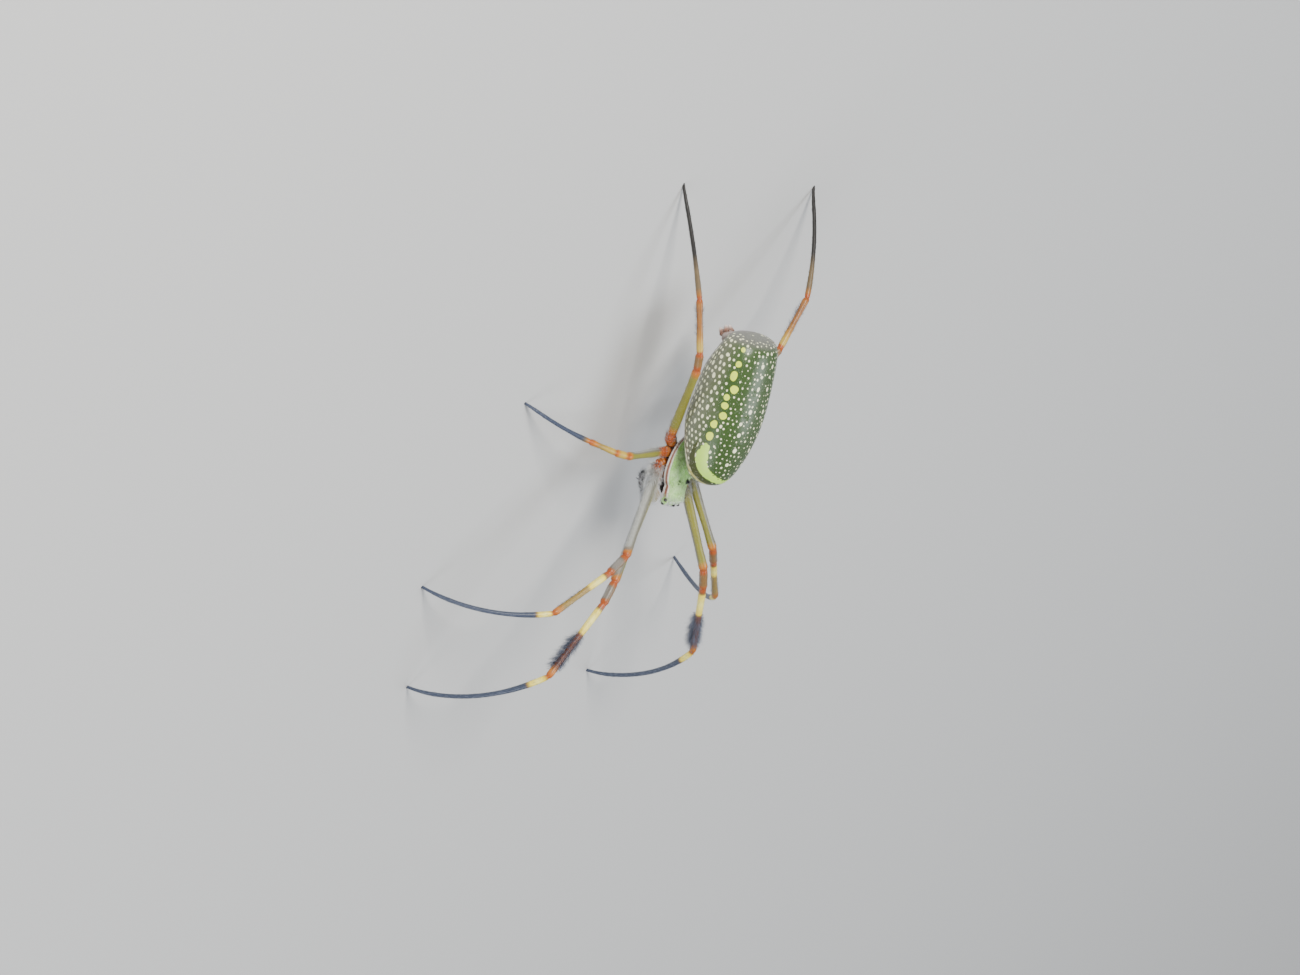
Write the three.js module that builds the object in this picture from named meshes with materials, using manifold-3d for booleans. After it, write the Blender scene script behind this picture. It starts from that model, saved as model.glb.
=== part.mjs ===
// Golden silk orb weaver, an adult female, as a still life-size model. Sizes are in millimetres.
// The floor is Z = 0, the head faces -Y and the spider's left side is +X.
import * as THREE from 'three';
import Module from 'manifold-3d';
import { mergeVertices } from 'three/addons/utils/BufferGeometryUtils.js';

const RAD = Math.PI / 180;

// Driving sizes of the front body, which carries the legs
const PROSOMA = {
  height: 9.3,          // of its middle above the floor
  pitch: 7,             // degrees, head up
  front: 5.3,           // from the middle of the legs to the edge of the head
  back: 3.8,
  width: 6.8,
  headWidth: 4.3,
  headTop: 1.5,
  thoraxTop: 0.9,
  under: 0.4,           // the carapace's edge below the middle
};

// Driving sizes of the hind body
const ABDOMEN = {
  length: 19.1,
  width: 9.8,
  back: 4.35,           // from its axis up to the back
  belly: 4.35,          // from its axis down to the belly
  side: -0.8,           // it hangs a little to the right
  middle: 9.45,         // behind the middle of the legs
  height: 12.0,
  pitch: 7.5,           // degrees, tail down
  roll: 6,              // degrees, its back turned to the right side
};

// The middle of the model's floor box lies here before the whole model is moved onto the origin
const BOX_MIDDLE = { x: -0.4454, y: -1.4994 };

const GAP = 0.12;       // from each piece to the plane that it shares with its neighbour
const HIP_DROP = 1.2;   // the trochanters below the middle of the front body
const HIP = 1.0;        // length of a trochanter
const HIP_SHARE = 0.4;  // share of the trochanter that is one piece with the coxa
const FOOT_SINK = 0.07; // how far a tarsus's end would reach below the floor, where it is cut flat
const ROUND = 0.12;     // rounding of each piece's ends
const BEND = 0.5;       // half the stretch over which a leg bends at a joint
const TIP_SHARE = 0.36; // radius of a segment's flat end, as a share of its thickness
const LEG_SIDES = 8;
const SETTLE_ROUNDS = 20;
const PATH_STEP = 0.1;

// Lengths and thicknesses of the four kinds of leg, and where their trochanters sit
const LEGS = {
  1: {
    side: 2.9, forward: 2.0, thick: 1.12,
    femur: 13.5, patella: 3.1, tibia: 11.0, metatarsus: 15.1, tarsus: 3.4,
  },
  2: {
    side: 3.3, forward: 0.6, thick: 1.08,
    femur: 12.1, patella: 3.2, tibia: 8.8, metatarsus: 13.2, tarsus: 3.2,
  },
  3: {
    side: 3.2, forward: -1.1, thick: 0.98,
    femur: 8.3, patella: 2.2, tibia: 4.3, metatarsus: 7.6, tarsus: 2.6,
  },
  4: {
    side: 2.7, forward: -2.8, thick: 1.05,
    femur: 11.7, patella: 2.4, tibia: 7.0, metatarsus: 11.5, tarsus: 2.6,
  },
};

// Pose of each leg in degrees. yaw turns from straight out to the side towards the head, lean tips the
// leg's plane, and the pitches are those of the femur, patella, tibia, the metatarsus's start and end,
// and the tarsus's end.
const POSES = {
  right_1: { side: -1, kind: 1, yaw: 59.5, lean: 6, pitches: [19.5, 13.5, 2, -31.5, -67.5, -79.5] },
  right_2: { side: -1, kind: 2, yaw: 41.5, lean: -16, pitches: [25, 2.5, -6.5, -36.5, -67.5, -77] },
  right_3: { side: -1, kind: 3, yaw: -3.5, lean: -15.5, pitches: [4, -15.5, -26, -27.5, -47.5, -45.5] },
  right_4: { side: -1, kind: 4, yaw: -66.5, lean: -18.5, pitches: [9.5, -4, -20, -28.5, -38.5, -33.5] },
  left_1: { side: 1, kind: 1, yaw: 61, lean: 11, pitches: [20, 6.5, 0, -28.5, -63, -78] },
  left_2: { side: 1, kind: 2, yaw: 45.5, lean: -23, pitches: [25, -6, -5.5, -30.5, -74.5, -77.5] },
  left_3: { side: 1, kind: 3, yaw: -6, lean: -15, pitches: [5, -14, -24, -28, -48, -48] },
  left_4: { side: 1, kind: 4, yaw: -58.5, lean: -15, pitches: [6, -1.5, -11.5, -27.5, -42, -36] },
};

const wasm = await Module();
wasm.setup();

const spider = new THREE.Group();
spider.position.set(-BOX_MIDDLE.x, -BOX_MIDDLE.y, 0);

function sideName(side) {
  return side < 0 ? 'right' : 'left';
}

// A closed geometry as a solid that can be joined and cut
function solid(geometry) {
  const bare = geometry.clone();
  bare.deleteAttribute('normal');
  bare.deleteAttribute('uv');
  const merged = mergeVertices(bare, 1e-4);
  const corners = Array.from(merged.index.array);
  const triangles = [];
  for (let i = 0; i < corners.length; i += 3) {
    const [a, b, c] = corners.slice(i, i + 3);
    if (a !== b && b !== c && c !== a) triangles.push(a, b, c);
  }
  return new wasm.Manifold(new wasm.Mesh({
    numProp: 3,
    vertProperties: new Float32Array(merged.attributes.position.array),
    triVerts: new Uint32Array(triangles),
  }));
}

function surface(body) {
  const mesh = body.getMesh();
  const geometry = new THREE.BufferGeometry();
  geometry.setAttribute('position', new THREE.BufferAttribute(mesh.vertProperties, 3));
  geometry.setIndex(new THREE.BufferAttribute(mesh.triVerts, 1));
  return geometry;
}

function paint(color, roughness = 0.55) {
  return new THREE.MeshStandardMaterial({ color, roughness, metalness: 0 });
}

const MATERIALS = {
  carapace: paint('#8f9a72', 0.6),
  sternum: paint('#3b2f22'),
  chelicera: paint('#17130f', 0.35),
  palp: paint('#a98a4a'),
  eye: paint('#0b0908', 0.1),
  abdomen: paint('#4f6a3a', 0.6),
  spinneret: paint('#c99a86'),
  hip: paint('#c8683a'),
  femur: paint('#a8a85a', 0.5),
  tibia: paint('#c9702c', 0.5),
  foot: paint('#22242a', 0.45),
};

function addMesh(parent, name, geometry, material) {
  const mesh = new THREE.Mesh(geometry, material);
  mesh.name = name;
  parent.add(mesh);
  return mesh;
}

function mix(a, b, t) {
  return a + (b - a) * t;
}

// Value at t on a smooth curve through [position, value] pairs
function smooth(pairs, t) {
  let i = 0;
  while (i < pairs.length - 2 && t > pairs[i + 1][0]) i += 1;
  const [a, from] = pairs[i];
  const [b, to] = pairs[i + 1];
  const x = THREE.MathUtils.clamp((t - a) / (b - a), 0, 1);
  return mix(from, to, x * x * (3 - 2 * x));
}

// Value at t on straight lines through [position, value] pairs
function ramp(pairs, t) {
  let i = 0;
  while (i < pairs.length - 2 && t > pairs[i + 1][0]) i += 1;
  const [a, from] = pairs[i];
  const [b, to] = pairs[i + 1];
  return mix(from, to, THREE.MathUtils.clamp((t - a) / (b - a), 0, 1));
}

// How wide a blunt or pointed end is at t, from 1 in the middle to 0 at the ends
function endCurve(t, power) {
  return (1 - Math.min(Math.abs(t), 1) ** power) ** (1 / power);
}

// A rounded body along Y. t runs from -1 at its front to 1 at its back, and the functions give its half
// width, and its height above and below the line between its ends.
function roundedBody({ length, sides, rings, halfWidth, above, below, square = 2 }) {
  const geometry = new THREE.SphereGeometry(1, sides, rings);
  const position = geometry.attributes.position;
  for (let i = 0; i < position.count; i += 1) {
    const t = position.getY(i);
    const radius = Math.max(Math.hypot(position.getX(i), position.getZ(i)), 1e-6);
    const across = position.getX(i) / radius;
    const up = -position.getZ(i) / radius;
    const stretch = Math.max(Math.abs(across) ** square + Math.abs(up) ** square, 0.1) ** (-1 / square);
    const height = up > 0 ? above(t) : below(t);
    position.setXYZ(i, -across * stretch * halfWidth(t), t * length / 2, up * stretch * height);
  }
  return geometry;
}

// The leg's path in its own upright plane: its pitch changes evenly between knots of [distance, degrees]
class LegPath {
  constructor(knots) {
    this.points = [[0, 0]];
    this.pitches = [ramp(knots, 0) * RAD];
    const end = knots[knots.length - 1][0];
    for (let s = PATH_STEP; s < end + PATH_STEP; s += PATH_STEP) {
      const pitch = ramp(knots, s) * RAD;
      const [x, z] = this.points[this.points.length - 1];
      this.points.push([x + Math.cos(pitch) * PATH_STEP, z + Math.sin(pitch) * PATH_STEP]);
      this.pitches.push(pitch);
    }
  }

  at(distance) {
    const place = THREE.MathUtils.clamp(distance / PATH_STEP, 0, this.points.length - 1.001);
    const i = Math.floor(place);
    const f = place - i;
    const [x0, z0] = this.points[i];
    const [x1, z1] = this.points[i + 1];
    return { x: mix(x0, x1, f), z: mix(z0, z1, f), pitch: mix(this.pitches[i], this.pitches[i + 1], f) };
  }
}

// A turned tube of [distance, radius] rings, bent along the path
function limb(path, rings, sides = LEG_SIDES) {
  const [first] = rings[0];
  const [last] = rings[rings.length - 1];
  const outline = rings.map(([s, r]) => new THREE.Vector2(r, s));
  const profile = [new THREE.Vector2(0, first), ...outline, new THREE.Vector2(0, last)];
  const geometry = new THREE.LatheGeometry(profile, sides);
  const position = geometry.attributes.position;
  for (let i = 0; i < position.count; i += 1) {
    const { x, z, pitch } = path.at(position.getY(i));
    const out = position.getZ(i);
    position.setXYZ(i, x - Math.sin(pitch) * out, -position.getX(i), z + Math.cos(pitch) * out);
  }
  return geometry;
}

// Rings of one leg segment from start to end, with rounded ends. shape gives its thickness along it.
function segmentRings(start, end, thick, shape, count) {
  const rings = [[start, thick * shape(0) * TIP_SHARE]];
  for (let i = 0; i <= count; i += 1) {
    const t = i / count;
    rings.push([mix(start + ROUND, end - ROUND, t), thick * shape(t) / 2]);
  }
  rings.push([end, thick * shape(1) * TIP_SHARE]);
  return rings;
}

// Thickness along each segment, as a share of the leg's
const femurShape = (t) => smooth([[0, 1.12], [0.2, 1.06], [0.75, 0.9], [0.93, 0.98], [1, 0.92]], t);
const patellaShape = (t) => smooth([[0, 0.86], [0.3, 0.94], [0.85, 0.9], [1, 0.78]], t);
const tibiaShape = (t) => smooth([[0, 0.74], [0.12, 0.8], [0.6, 0.66], [0.92, 0.72], [1, 0.66]], t);
const metatarsusShape = (t) => smooth([[0, 0.6], [0.06, 0.64], [0.4, 0.5], [1, 0.49]], t);

function legKnots(leg, pitches) {
  const knee = HIP + leg.femur;
  const tibiaStart = knee + leg.patella;
  const ankle = tibiaStart + leg.tibia;
  const tarsusStart = ankle + leg.metatarsus;
  const [femur, patella, tibia, metatarsus, bow, tip] = pitches;
  return [[0, femur], [knee - BEND, femur], [knee + BEND, patella],
    [tibiaStart - BEND, patella], [tibiaStart + BEND, tibia],
    [ankle - BEND, tibia], [ankle + BEND, metatarsus],
    [tarsusStart, bow], [tarsusStart + leg.tarsus, tip]];
}

// The femur's pitch is trimmed until the foot is at the floor
function settledPath(leg, pose, hipHeight) {
  const drop = (hipHeight + FOOT_SINK) / Math.cos(pose.lean * RAD);
  let trim = 0;
  let path;
  for (let round = 0; round < SETTLE_ROUNDS; round += 1) {
    const pitches = pose.pitches.map((pitch, i) => pitch + (i < 3 ? trim : 0));
    path = new LegPath(legKnots(leg, pitches));
    const reach = HIP + leg.femur + leg.patella + leg.tibia;
    const { z } = path.at(reach + leg.metatarsus + leg.tarsus);
    trim += (-drop - z) / reach / RAD;
  }
  return path;
}

function buildLeg(name, pose) {
  const leg = LEGS[pose.kind];
  const lift = PROSOMA.pitch * RAD;
  const group = new THREE.Group();
  group.position.set(pose.side * leg.side, -leg.forward * Math.cos(lift),
    PROSOMA.height + leg.forward * Math.sin(lift) - HIP_DROP);
  const heading = Math.atan2(-Math.sin(pose.yaw * RAD), pose.side * Math.cos(pose.yaw * RAD));
  group.rotation.set(-pose.side * pose.lean * RAD, 0, heading, 'ZYX');
  spider.add(group);
  group.updateMatrixWorld();

  const path = settledPath(leg, pose, group.position.z);
  const knee = HIP + leg.femur;
  const ankle = knee + leg.patella + leg.tibia;
  const tarsusStart = ankle + leg.metatarsus;
  const tip = tarsusStart + leg.tarsus;
  const { thick } = leg;

  const femur = segmentRings(HIP * HIP_SHARE + GAP, knee - GAP, thick, femurShape, 6);
  addMesh(group, `femur_${name}`, limb(path, femur), MATERIALS.femur);

  const tibiaStart = knee + leg.patella;
  const patella = segmentRings(knee + GAP, tibiaStart, thick, patellaShape, 3).slice(0, -1);
  const tibia = segmentRings(tibiaStart, ankle - GAP, thick, tibiaShape, 5).slice(1);
  addMesh(group, `tibia_${name}`, limb(path, [...patella, ...tibia]), MATERIALS.tibia);

  const metatarsus = segmentRings(ankle + GAP, tip + ROUND, thick, metatarsusShape, 7).slice(0, -1);
  const foot = addMesh(group, `metatarsus_${name}`, limb(path, metatarsus), MATERIALS.foot);
  flattenFoot(foot);
  buildHip(name, pose, group);
}

// Cuts the end of a foot flat at the floor
function flattenFoot(mesh) {
  const toGroup = mesh.parent.matrixWorld.clone().invert();
  const point = new THREE.Vector3();
  const position = mesh.geometry.attributes.position;
  for (let i = 0; i < position.count; i += 1) {
    point.fromBufferAttribute(position, i).applyMatrix4(mesh.parent.matrixWorld);
    point.z = Math.max(point.z, 0);
    point.applyMatrix4(toGroup);
    position.setXYZ(i, point.x, point.y, point.z);
  }
}

// The coxa lies beside the sternum and carries the trochanter, where the leg starts. Its rings are
// [share of the coxa's length, share of its radius].
const COXA = {
  length: 1.8,
  thick: 1.3,
  yawShare: 0.55,
  rings: [[0, 0.45], [0.08, 0.62], [0.55, 0.95], [0.66, 1], [0.75, 0.84], [0.83, 0.96], [1, 0.9]],
};

function buildHip(name, pose, legGroup) {
  const group = new THREE.Group();
  const yaw = pose.yaw * COXA.yawShare * RAD;
  const heading = Math.atan2(-Math.sin(yaw), pose.side * Math.cos(yaw));
  group.position.copy(legGroup.position);
  group.rotation.set(0, 0, heading);
  group.translateX(-COXA.length);
  spider.add(group);
  const end = COXA.length + HIP * HIP_SHARE - GAP;
  const radius = COXA.thick / 2;
  const rings = COXA.rings.map(([t, share]) => [t * COXA.length, share * radius]);
  rings.push([end - ROUND, radius * 0.8], [end, radius * 0.55]);
  addMesh(group, `coxa_${name}`, limb(new LegPath([[0, 0], [end, 0]]), rings), MATERIALS.hip);
}

// Front body

const front = new THREE.Group();
front.position.z = PROSOMA.height;
front.rotation.x = -PROSOMA.pitch * RAD;
spider.add(front);

// Eyes as [side, forward, up] of their middles: a square of four, and a pair at each corner of the head,
// which shares a low knob
const EYE_RADIUS = 0.21;
const SOCKET_RADIUS = 0.28;
const EYE_SIDES = 8;
const EYE_RINGS = 5;
const EYES = {
  front_median: [0.42, 5.17, 0.52],
  back_median: [0.5, 4.98, 1.12],
  front_lateral: [2.16, 4.86, 0.48],
  back_lateral: [2.14, 4.34, 0.72],
};
const KNOB = { place: [1.92, 4.58, 0.48], radius: 0.42 };
const HORN = { place: [0.9, 2.0, 0.85], radius: 0.3, height: 0.55 };

function buildEyes() {
  for (const [name, [x, forward, up]] of Object.entries(EYES)) {
    for (const side of [-1, 1]) {
      const eye = new THREE.SphereGeometry(EYE_RADIUS, EYE_SIDES, EYE_RINGS);
      eye.translate(side * x, -forward, up);
      addMesh(front, `eye_${name}_${sideName(side)}`, eye, MATERIALS.eye);
    }
  }
}

// The broad oval of the thorax and the narrower, squarer head that it runs into. middle and half are
// shares of the carapace's length.
const THORAX = { middle: 0.22, half: 0.78, blunt: 2.2 };
const HEAD = { middle: 0.1, half: 1.1, blunt: 4.5, until: 0.6 };
const THINNEST = 0.02;

function carapaceShell() {
  const length = PROSOMA.front + PROSOMA.back;
  const halfWidth = (t) => {
    const thorax = PROSOMA.width / 2 * endCurve((t - THORAX.middle) / THORAX.half, THORAX.blunt);
    const head = PROSOMA.headWidth / 2 * endCurve((t - HEAD.middle) / HEAD.half, HEAD.blunt);
    return Math.max(thorax, t < HEAD.until ? head : 0, THINNEST);
  };
  const above = (t) => {
    const ridge = smooth([[-1, 1.3], [-0.8, PROSOMA.headTop], [-0.5, 1.22], [-0.2, 0.98],
      [0.3, PROSOMA.thoraxTop], [0.7, 0.62], [1, 0.4]], t);
    return ridge * endCurve(t, 6);
  };
  const below = () => PROSOMA.under;
  const geometry = roundedBody({ length, sides: 22, rings: 14, halfWidth, above, below, square: 2.2 });
  geometry.translate(0, (PROSOMA.back - PROSOMA.front) / 2, 0);
  return geometry;
}

// The shield over the front body, with a knob for each side pair of eyes, two low horns, and eye sockets
function buildCarapace() {
  let shell = solid(carapaceShell());
  for (const side of [-1, 1]) {
    const [knobX, knobForward, knobUp] = KNOB.place;
    const knob = new THREE.SphereGeometry(KNOB.radius, 10, 8);
    knob.translate(side * knobX, -knobForward, knobUp);
    shell = shell.add(solid(knob));
    const [hornX, hornForward, hornUp] = HORN.place;
    const horn = new THREE.ConeGeometry(HORN.radius, HORN.height, 8);
    horn.rotateX(90 * RAD);
    horn.translate(side * hornX, -hornForward, hornUp);
    shell = shell.add(solid(horn));
    for (const [x, forward, up] of Object.values(EYES)) {
      const socket = new THREE.SphereGeometry(SOCKET_RADIUS, EYE_SIDES, EYE_RINGS);
      socket.translate(side * x, -forward, up);
      shell = shell.subtract(solid(socket));
    }
  }
  addMesh(front, 'carapace', surface(shell), MATERIALS.carapace);
}

const STERNUM = { length: 4.2, width: 2.9, depth: 0.36, level: -2.05, middle: 0.65, blunt: 4 };

function buildSternum() {
  const end = (t) => endCurve(t, STERNUM.blunt);
  const outline = [[-1, 0.55], [-0.4, 1], [0.3, 0.85], [1, 0.15]];
  const halfWidth = (t) => STERNUM.width / 2 * smooth(outline, t) * end(t);
  const plate = (t) => STERNUM.depth * end(t);
  const geometry = roundedBody({ length: STERNUM.length, sides: 12, rings: 8, halfWidth, above: plate,
    below: plate, square: 2.5 });
  geometry.translate(0, STERNUM.middle, STERNUM.level);
  addMesh(front, 'sternum', geometry, MATERIALS.sternum);
}

// The lip, and the jaw plate of each palp beside it
const LIP = { length: 1.1, halfWidth: 0.42, half: 0.35, forward: 2.2, blunt: 3 };
const JAW_PLATE = {
  length: 1.6, halfWidth: 0.42, half: 0.42, forward: 2.25, side: 0.95, turn: 12, blunt: 3,
};

function mouthPlate({ length, halfWidth, half, blunt }) {
  const thickness = (t) => half * endCurve(t, blunt);
  return roundedBody({ length, sides: 10, rings: 6, halfWidth: (t) => halfWidth * endCurve(t, blunt),
    above: thickness, below: thickness });
}

function buildMouth() {
  const lip = mouthPlate(LIP);
  lip.translate(0, -LIP.forward, STERNUM.level);
  addMesh(front, 'labium', lip, MATERIALS.sternum);
  for (const side of [-1, 1]) {
    const plate = mouthPlate(JAW_PLATE);
    plate.rotateZ(side * JAW_PLATE.turn * RAD);
    plate.translate(side * JAW_PLATE.side, -JAW_PLATE.forward, STERNUM.level);
    addMesh(front, `maxilla_${sideName(side)}`, plate, MATERIALS.sternum);
  }
}

const CHELICERA = { length: 3.2, width: 1.75, depth: 1.9, forward: 4.2, top: -0.55, splay: 3, blunt: 4 };

// A fang folds inwards across the end of its chelicera
const FANG = {
  knots: [[0, -10], [1.5, -75]],
  rings: [[0, 0.2], [0.15, 0.3], [0.6, 0.28], [1.0, 0.26], [1.4, 0.25], [1.5, 0.18]],
  outwards: 0.55,
  back: 0.1,
  below: 0.42,
};

function buildChelicera(side) {
  const { length, width, depth, forward, top, splay, blunt } = CHELICERA;
  const outline = [[-1, 0.8], [-0.5, 1], [0.3, 0.88], [1, 0.62]];
  const swell = (t) => smooth(outline, t) * endCurve(t, blunt);
  const geometry = roundedBody({ length, sides: 12, rings: 10, halfWidth: (t) => width / 2 * swell(t),
    above: (t) => depth * 0.55 * swell(t), below: (t) => depth * 0.45 * swell(t) });
  geometry.rotateX(-90 * RAD);
  geometry.rotateY(side * -splay * RAD);
  const x = side * (width / 2 + GAP);
  geometry.translate(x, -forward, top - length / 2);
  addMesh(front, `chelicera_${sideName(side)}`, geometry, MATERIALS.chelicera);

  const fang = limb(new LegPath(FANG.knots), FANG.rings);
  if (side > 0) fang.rotateZ(Math.PI);
  fang.translate(x + side * FANG.outwards, FANG.back - forward, top - length - FANG.below);
  addMesh(front, `fang_${sideName(side)}`, fang, MATERIALS.chelicera);
}

// A palp rises beside the jaws, bends over and is folded back under the head
const PALP = {
  side: 2.45,
  forward: 3.2,
  level: -1.6,
  yaw: 84,
  knots: [[0, 55], [1.4, 52], [2.7, -95], [3.4, -118], [4.6, -145], [6.2, -158]],
  rings: [[0, 0.25], [0.12, 0.34], [0.8, 0.36], [1.5, 0.37], [2.0, 0.34], [2.5, 0.38], [3.0, 0.37],
    [3.4, 0.34], [4.1, 0.37], [5.3, 0.31], [6.1, 0.25], [6.2, 0.16]],
};

function buildPalp(side) {
  const group = new THREE.Group();
  const yaw = PALP.yaw * RAD;
  group.position.set(side * PALP.side, -PALP.forward, PALP.level);
  group.rotation.set(0, 0, Math.atan2(-Math.sin(yaw), side * Math.cos(yaw)));
  front.add(group);
  addMesh(group, `palp_${sideName(side)}`, limb(new LegPath(PALP.knots), PALP.rings), MATERIALS.palp);
}

// Hind body

const hind = new THREE.Group();
hind.position.set(ABDOMEN.side, ABDOMEN.middle, ABDOMEN.height);
hind.rotation.set(-ABDOMEN.pitch * RAD, -ABDOMEN.roll * RAD, 0, 'XYZ');
spider.add(hind);

function buildAbdomen() {
  const end = (t) => endCurve(t, t < 0 ? 3.3 : 6);
  const halfWidth = (t) => ABDOMEN.width / 2 * smooth([[-1, 0.8], [0, 1], [1, 0.87]], t) * end(t);
  const above = (t) => ABDOMEN.back * smooth([[-1, 0.88], [-0.1, 1], [1, 0.82]], t) * end(t);
  const below = (t) => ABDOMEN.belly * smooth([[-1, 0.56], [-0.2, 1], [0.35, 0.97], [1, 0.63]], t) * end(t);
  const geometry = roundedBody({ length: ABDOMEN.length, sides: 24, rings: 20, halfWidth, above, below });
  addMesh(hind, 'abdomen', geometry, MATERIALS.abdomen);
}

// The thin waist between the two bodies
const PEDICEL = {
  pitch: 15,
  level: -0.5,
  rings: [[0, 0.3], [0.06, 0.42], [0.18, 0.45], [0.28, 0.42], [0.33, 0.32]],
};

function buildPedicel() {
  const length = PEDICEL.rings[PEDICEL.rings.length - 1][0];
  const path = new LegPath([[0, PEDICEL.pitch], [length, PEDICEL.pitch]]);
  const pedicel = limb(path, PEDICEL.rings);
  pedicel.rotateZ(90 * RAD);
  pedicel.translate(0, PROSOMA.back + GAP, PROSOMA.height + PEDICEL.level);
  addMesh(spider, 'pedicel', pedicel, MATERIALS.palp);
}

const SPINNERETS = {
  length: 1.6, halfWidth: 1.15, half: 0.85, pitch: 50, inside: 1.15, level: -3.75, blunt: 4,
};

function buildSpinnerets() {
  const { length, halfWidth, half, blunt } = SPINNERETS;
  const size = (t) => smooth([[-1, 1], [0, 0.95], [1, 0.5]], t) * endCurve(t, blunt);
  const height = (t) => half * size(t);
  const geometry = roundedBody({ length, sides: 12, rings: 8, halfWidth: (t) => halfWidth * size(t),
    above: height, below: height });
  geometry.rotateX(-SPINNERETS.pitch * RAD);
  geometry.translate(0, ABDOMEN.length / 2 - SPINNERETS.inside, SPINNERETS.level);
  addMesh(hind, 'spinnerets', geometry, MATERIALS.spinneret);
}

for (const [name, pose] of Object.entries(POSES)) {
  buildLeg(name, pose);
}
buildCarapace();
buildSternum();
buildMouth();
buildEyes();
for (const side of [-1, 1]) {
  buildChelicera(side);
  buildPalp(side);
}
buildAbdomen();
buildPedicel();
buildSpinnerets();

export default spider;
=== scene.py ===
import math
import random

import bmesh
import bpy
from mathutils import Matrix, Vector, kdtree, noise


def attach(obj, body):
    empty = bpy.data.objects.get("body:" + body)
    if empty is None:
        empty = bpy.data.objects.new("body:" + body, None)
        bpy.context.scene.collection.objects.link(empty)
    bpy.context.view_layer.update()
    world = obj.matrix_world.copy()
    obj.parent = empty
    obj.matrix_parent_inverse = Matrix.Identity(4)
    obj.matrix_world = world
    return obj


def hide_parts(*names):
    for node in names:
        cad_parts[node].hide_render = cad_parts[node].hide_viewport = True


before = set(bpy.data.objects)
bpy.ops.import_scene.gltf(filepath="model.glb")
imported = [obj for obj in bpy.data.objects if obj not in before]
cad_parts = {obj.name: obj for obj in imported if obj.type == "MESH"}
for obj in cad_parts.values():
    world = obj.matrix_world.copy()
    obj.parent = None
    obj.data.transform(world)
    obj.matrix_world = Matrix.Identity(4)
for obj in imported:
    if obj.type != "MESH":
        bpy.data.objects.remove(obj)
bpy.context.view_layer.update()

# A golden silk orb weaver, adult female, as a life-size model standing on its eight feet.
# Sizes in the dictionaries are millimetres and degrees, in the construction's own frame:
# Z up from the floor, the head towards -Y, the spider's left side towards +X.
mm = 0.001
origin = Vector((0.4454, 1.4994, 0))   # the middle of the legs, seen from the middle of the model's box
random.seed(7)


# Curves that the shapes share

def mix(a, b, t):
    return a + (b - a) * t


def clamp(value, low=0.0, high=1.0):
    return max(low, min(high, value))


def softStep(low, high, value):
    t = clamp((value - low) / (high - low))
    return t * t * (3 - 2 * t)


def between(pairs, t, soft=True):   # the value at t of a curve through [position, value] pairs
    for (start, a), (end, b) in zip(pairs, pairs[1:]):
        if t <= end:
            break
    share = clamp((t - start) / (end - start))
    return mix(a, b, share * share * (3 - 2 * share) if soft else share)


def roundEnd(t, power):   # 1 in the middle of a blunt body, 0 at its ends
    return (1 - min(abs(t), 1) ** power) ** (1 / power)


def hump(distance, radius):   # a bell of height 1
    return math.exp(-(distance / radius) ** 2)


# Camera and light

camera = {
    "aim": (1.5622, -3.7814, 6.358),
    "looks": (0.8498, -0.3223, -0.4171),
    "photoRight": (0.5228, 0.4147, 0.7448),
    "distance": 1300,
    "lens": 298.5,
    "sensor": 36,
}


def linked(thing):
    bpy.context.scene.collection.objects.link(thing)
    return thing


def placeCamera():
    looks = Vector(camera["looks"]).normalized()
    right = Vector(camera["photoRight"])
    right = (right - looks * right.dot(looks)).normalized()
    up = right.cross(looks)
    turn = Matrix((right, up, -looks)).transposed().to_4x4()
    data = bpy.data.cameras.new("camera")
    data.lens = camera["lens"]
    data.sensor_width = camera["sensor"]
    data.clip_start = 0.05
    data.clip_end = 20
    holder = linked(bpy.data.objects.new("camera", data))
    place = Vector(camera["aim"]) - looks * camera["distance"]
    holder.matrix_world = Matrix.Translation(place * mm) @ turn
    bpy.context.scene.camera = holder


studio = {
    "floorSide": 6000,
    "floorColor": (0.60, 0.60, 0.59, 1),
    "sky": (0.90, 0.93, 1.0, 1),
    "skyStrength": 0.37,
    "lights": [
        {"name": "key", "at": (-260, 330, 300), "size": 160, "power": 3.1, "color": (1, 0.97, 0.92)},
        {"name": "fill", "at": (-300, -280, 200), "size": 260, "power": 0.9, "color": (0.93, 0.96, 1)},
        {"name": "top", "at": (140, 40, 420), "size": 240, "power": 1.1, "color": (0.9, 0.95, 1)},
    ],
}


def meshObject(name, shape):
    mesh = bpy.data.meshes.new(name)
    shape.to_mesh(mesh)
    shape.free()
    return bpy.data.objects.new(name, mesh)


def lightStudio():
    shape = bmesh.new()
    bmesh.ops.create_grid(shape, x_segments=1, y_segments=1, size=studio["floorSide"] / 2 * mm)
    floor = linked(meshObject("floor", shape))
    paper = bpy.data.materials.new("floorPaper")
    paper.use_nodes = True
    shader = paper.node_tree.nodes["Principled BSDF"]
    shader.inputs["Base Color"].default_value = studio["floorColor"]
    shader.inputs["Roughness"].default_value = 0.9
    floor.data.materials.append(paper)
    world = bpy.data.worlds.new("sky")
    world.use_nodes = True
    background = world.node_tree.nodes["Background"]
    background.inputs["Color"].default_value = studio["sky"]
    background.inputs["Strength"].default_value = studio["skyStrength"]
    bpy.context.scene.world = world
    for lamp in studio["lights"]:
        data = bpy.data.lights.new(lamp["name"], "AREA")
        data.shape = "DISK"
        data.size = lamp["size"] * mm
        data.energy = lamp["power"]
        data.color = lamp["color"]
        light = linked(bpy.data.objects.new(lamp["name"], data))
        light.location = Vector(lamp["at"]) * mm
        light.rotation_euler = light.location.to_track_quat("Z", "Y").to_euler()


placeCamera()
lightStudio()
print("stage: camera and lights")


# Node helpers

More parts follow.
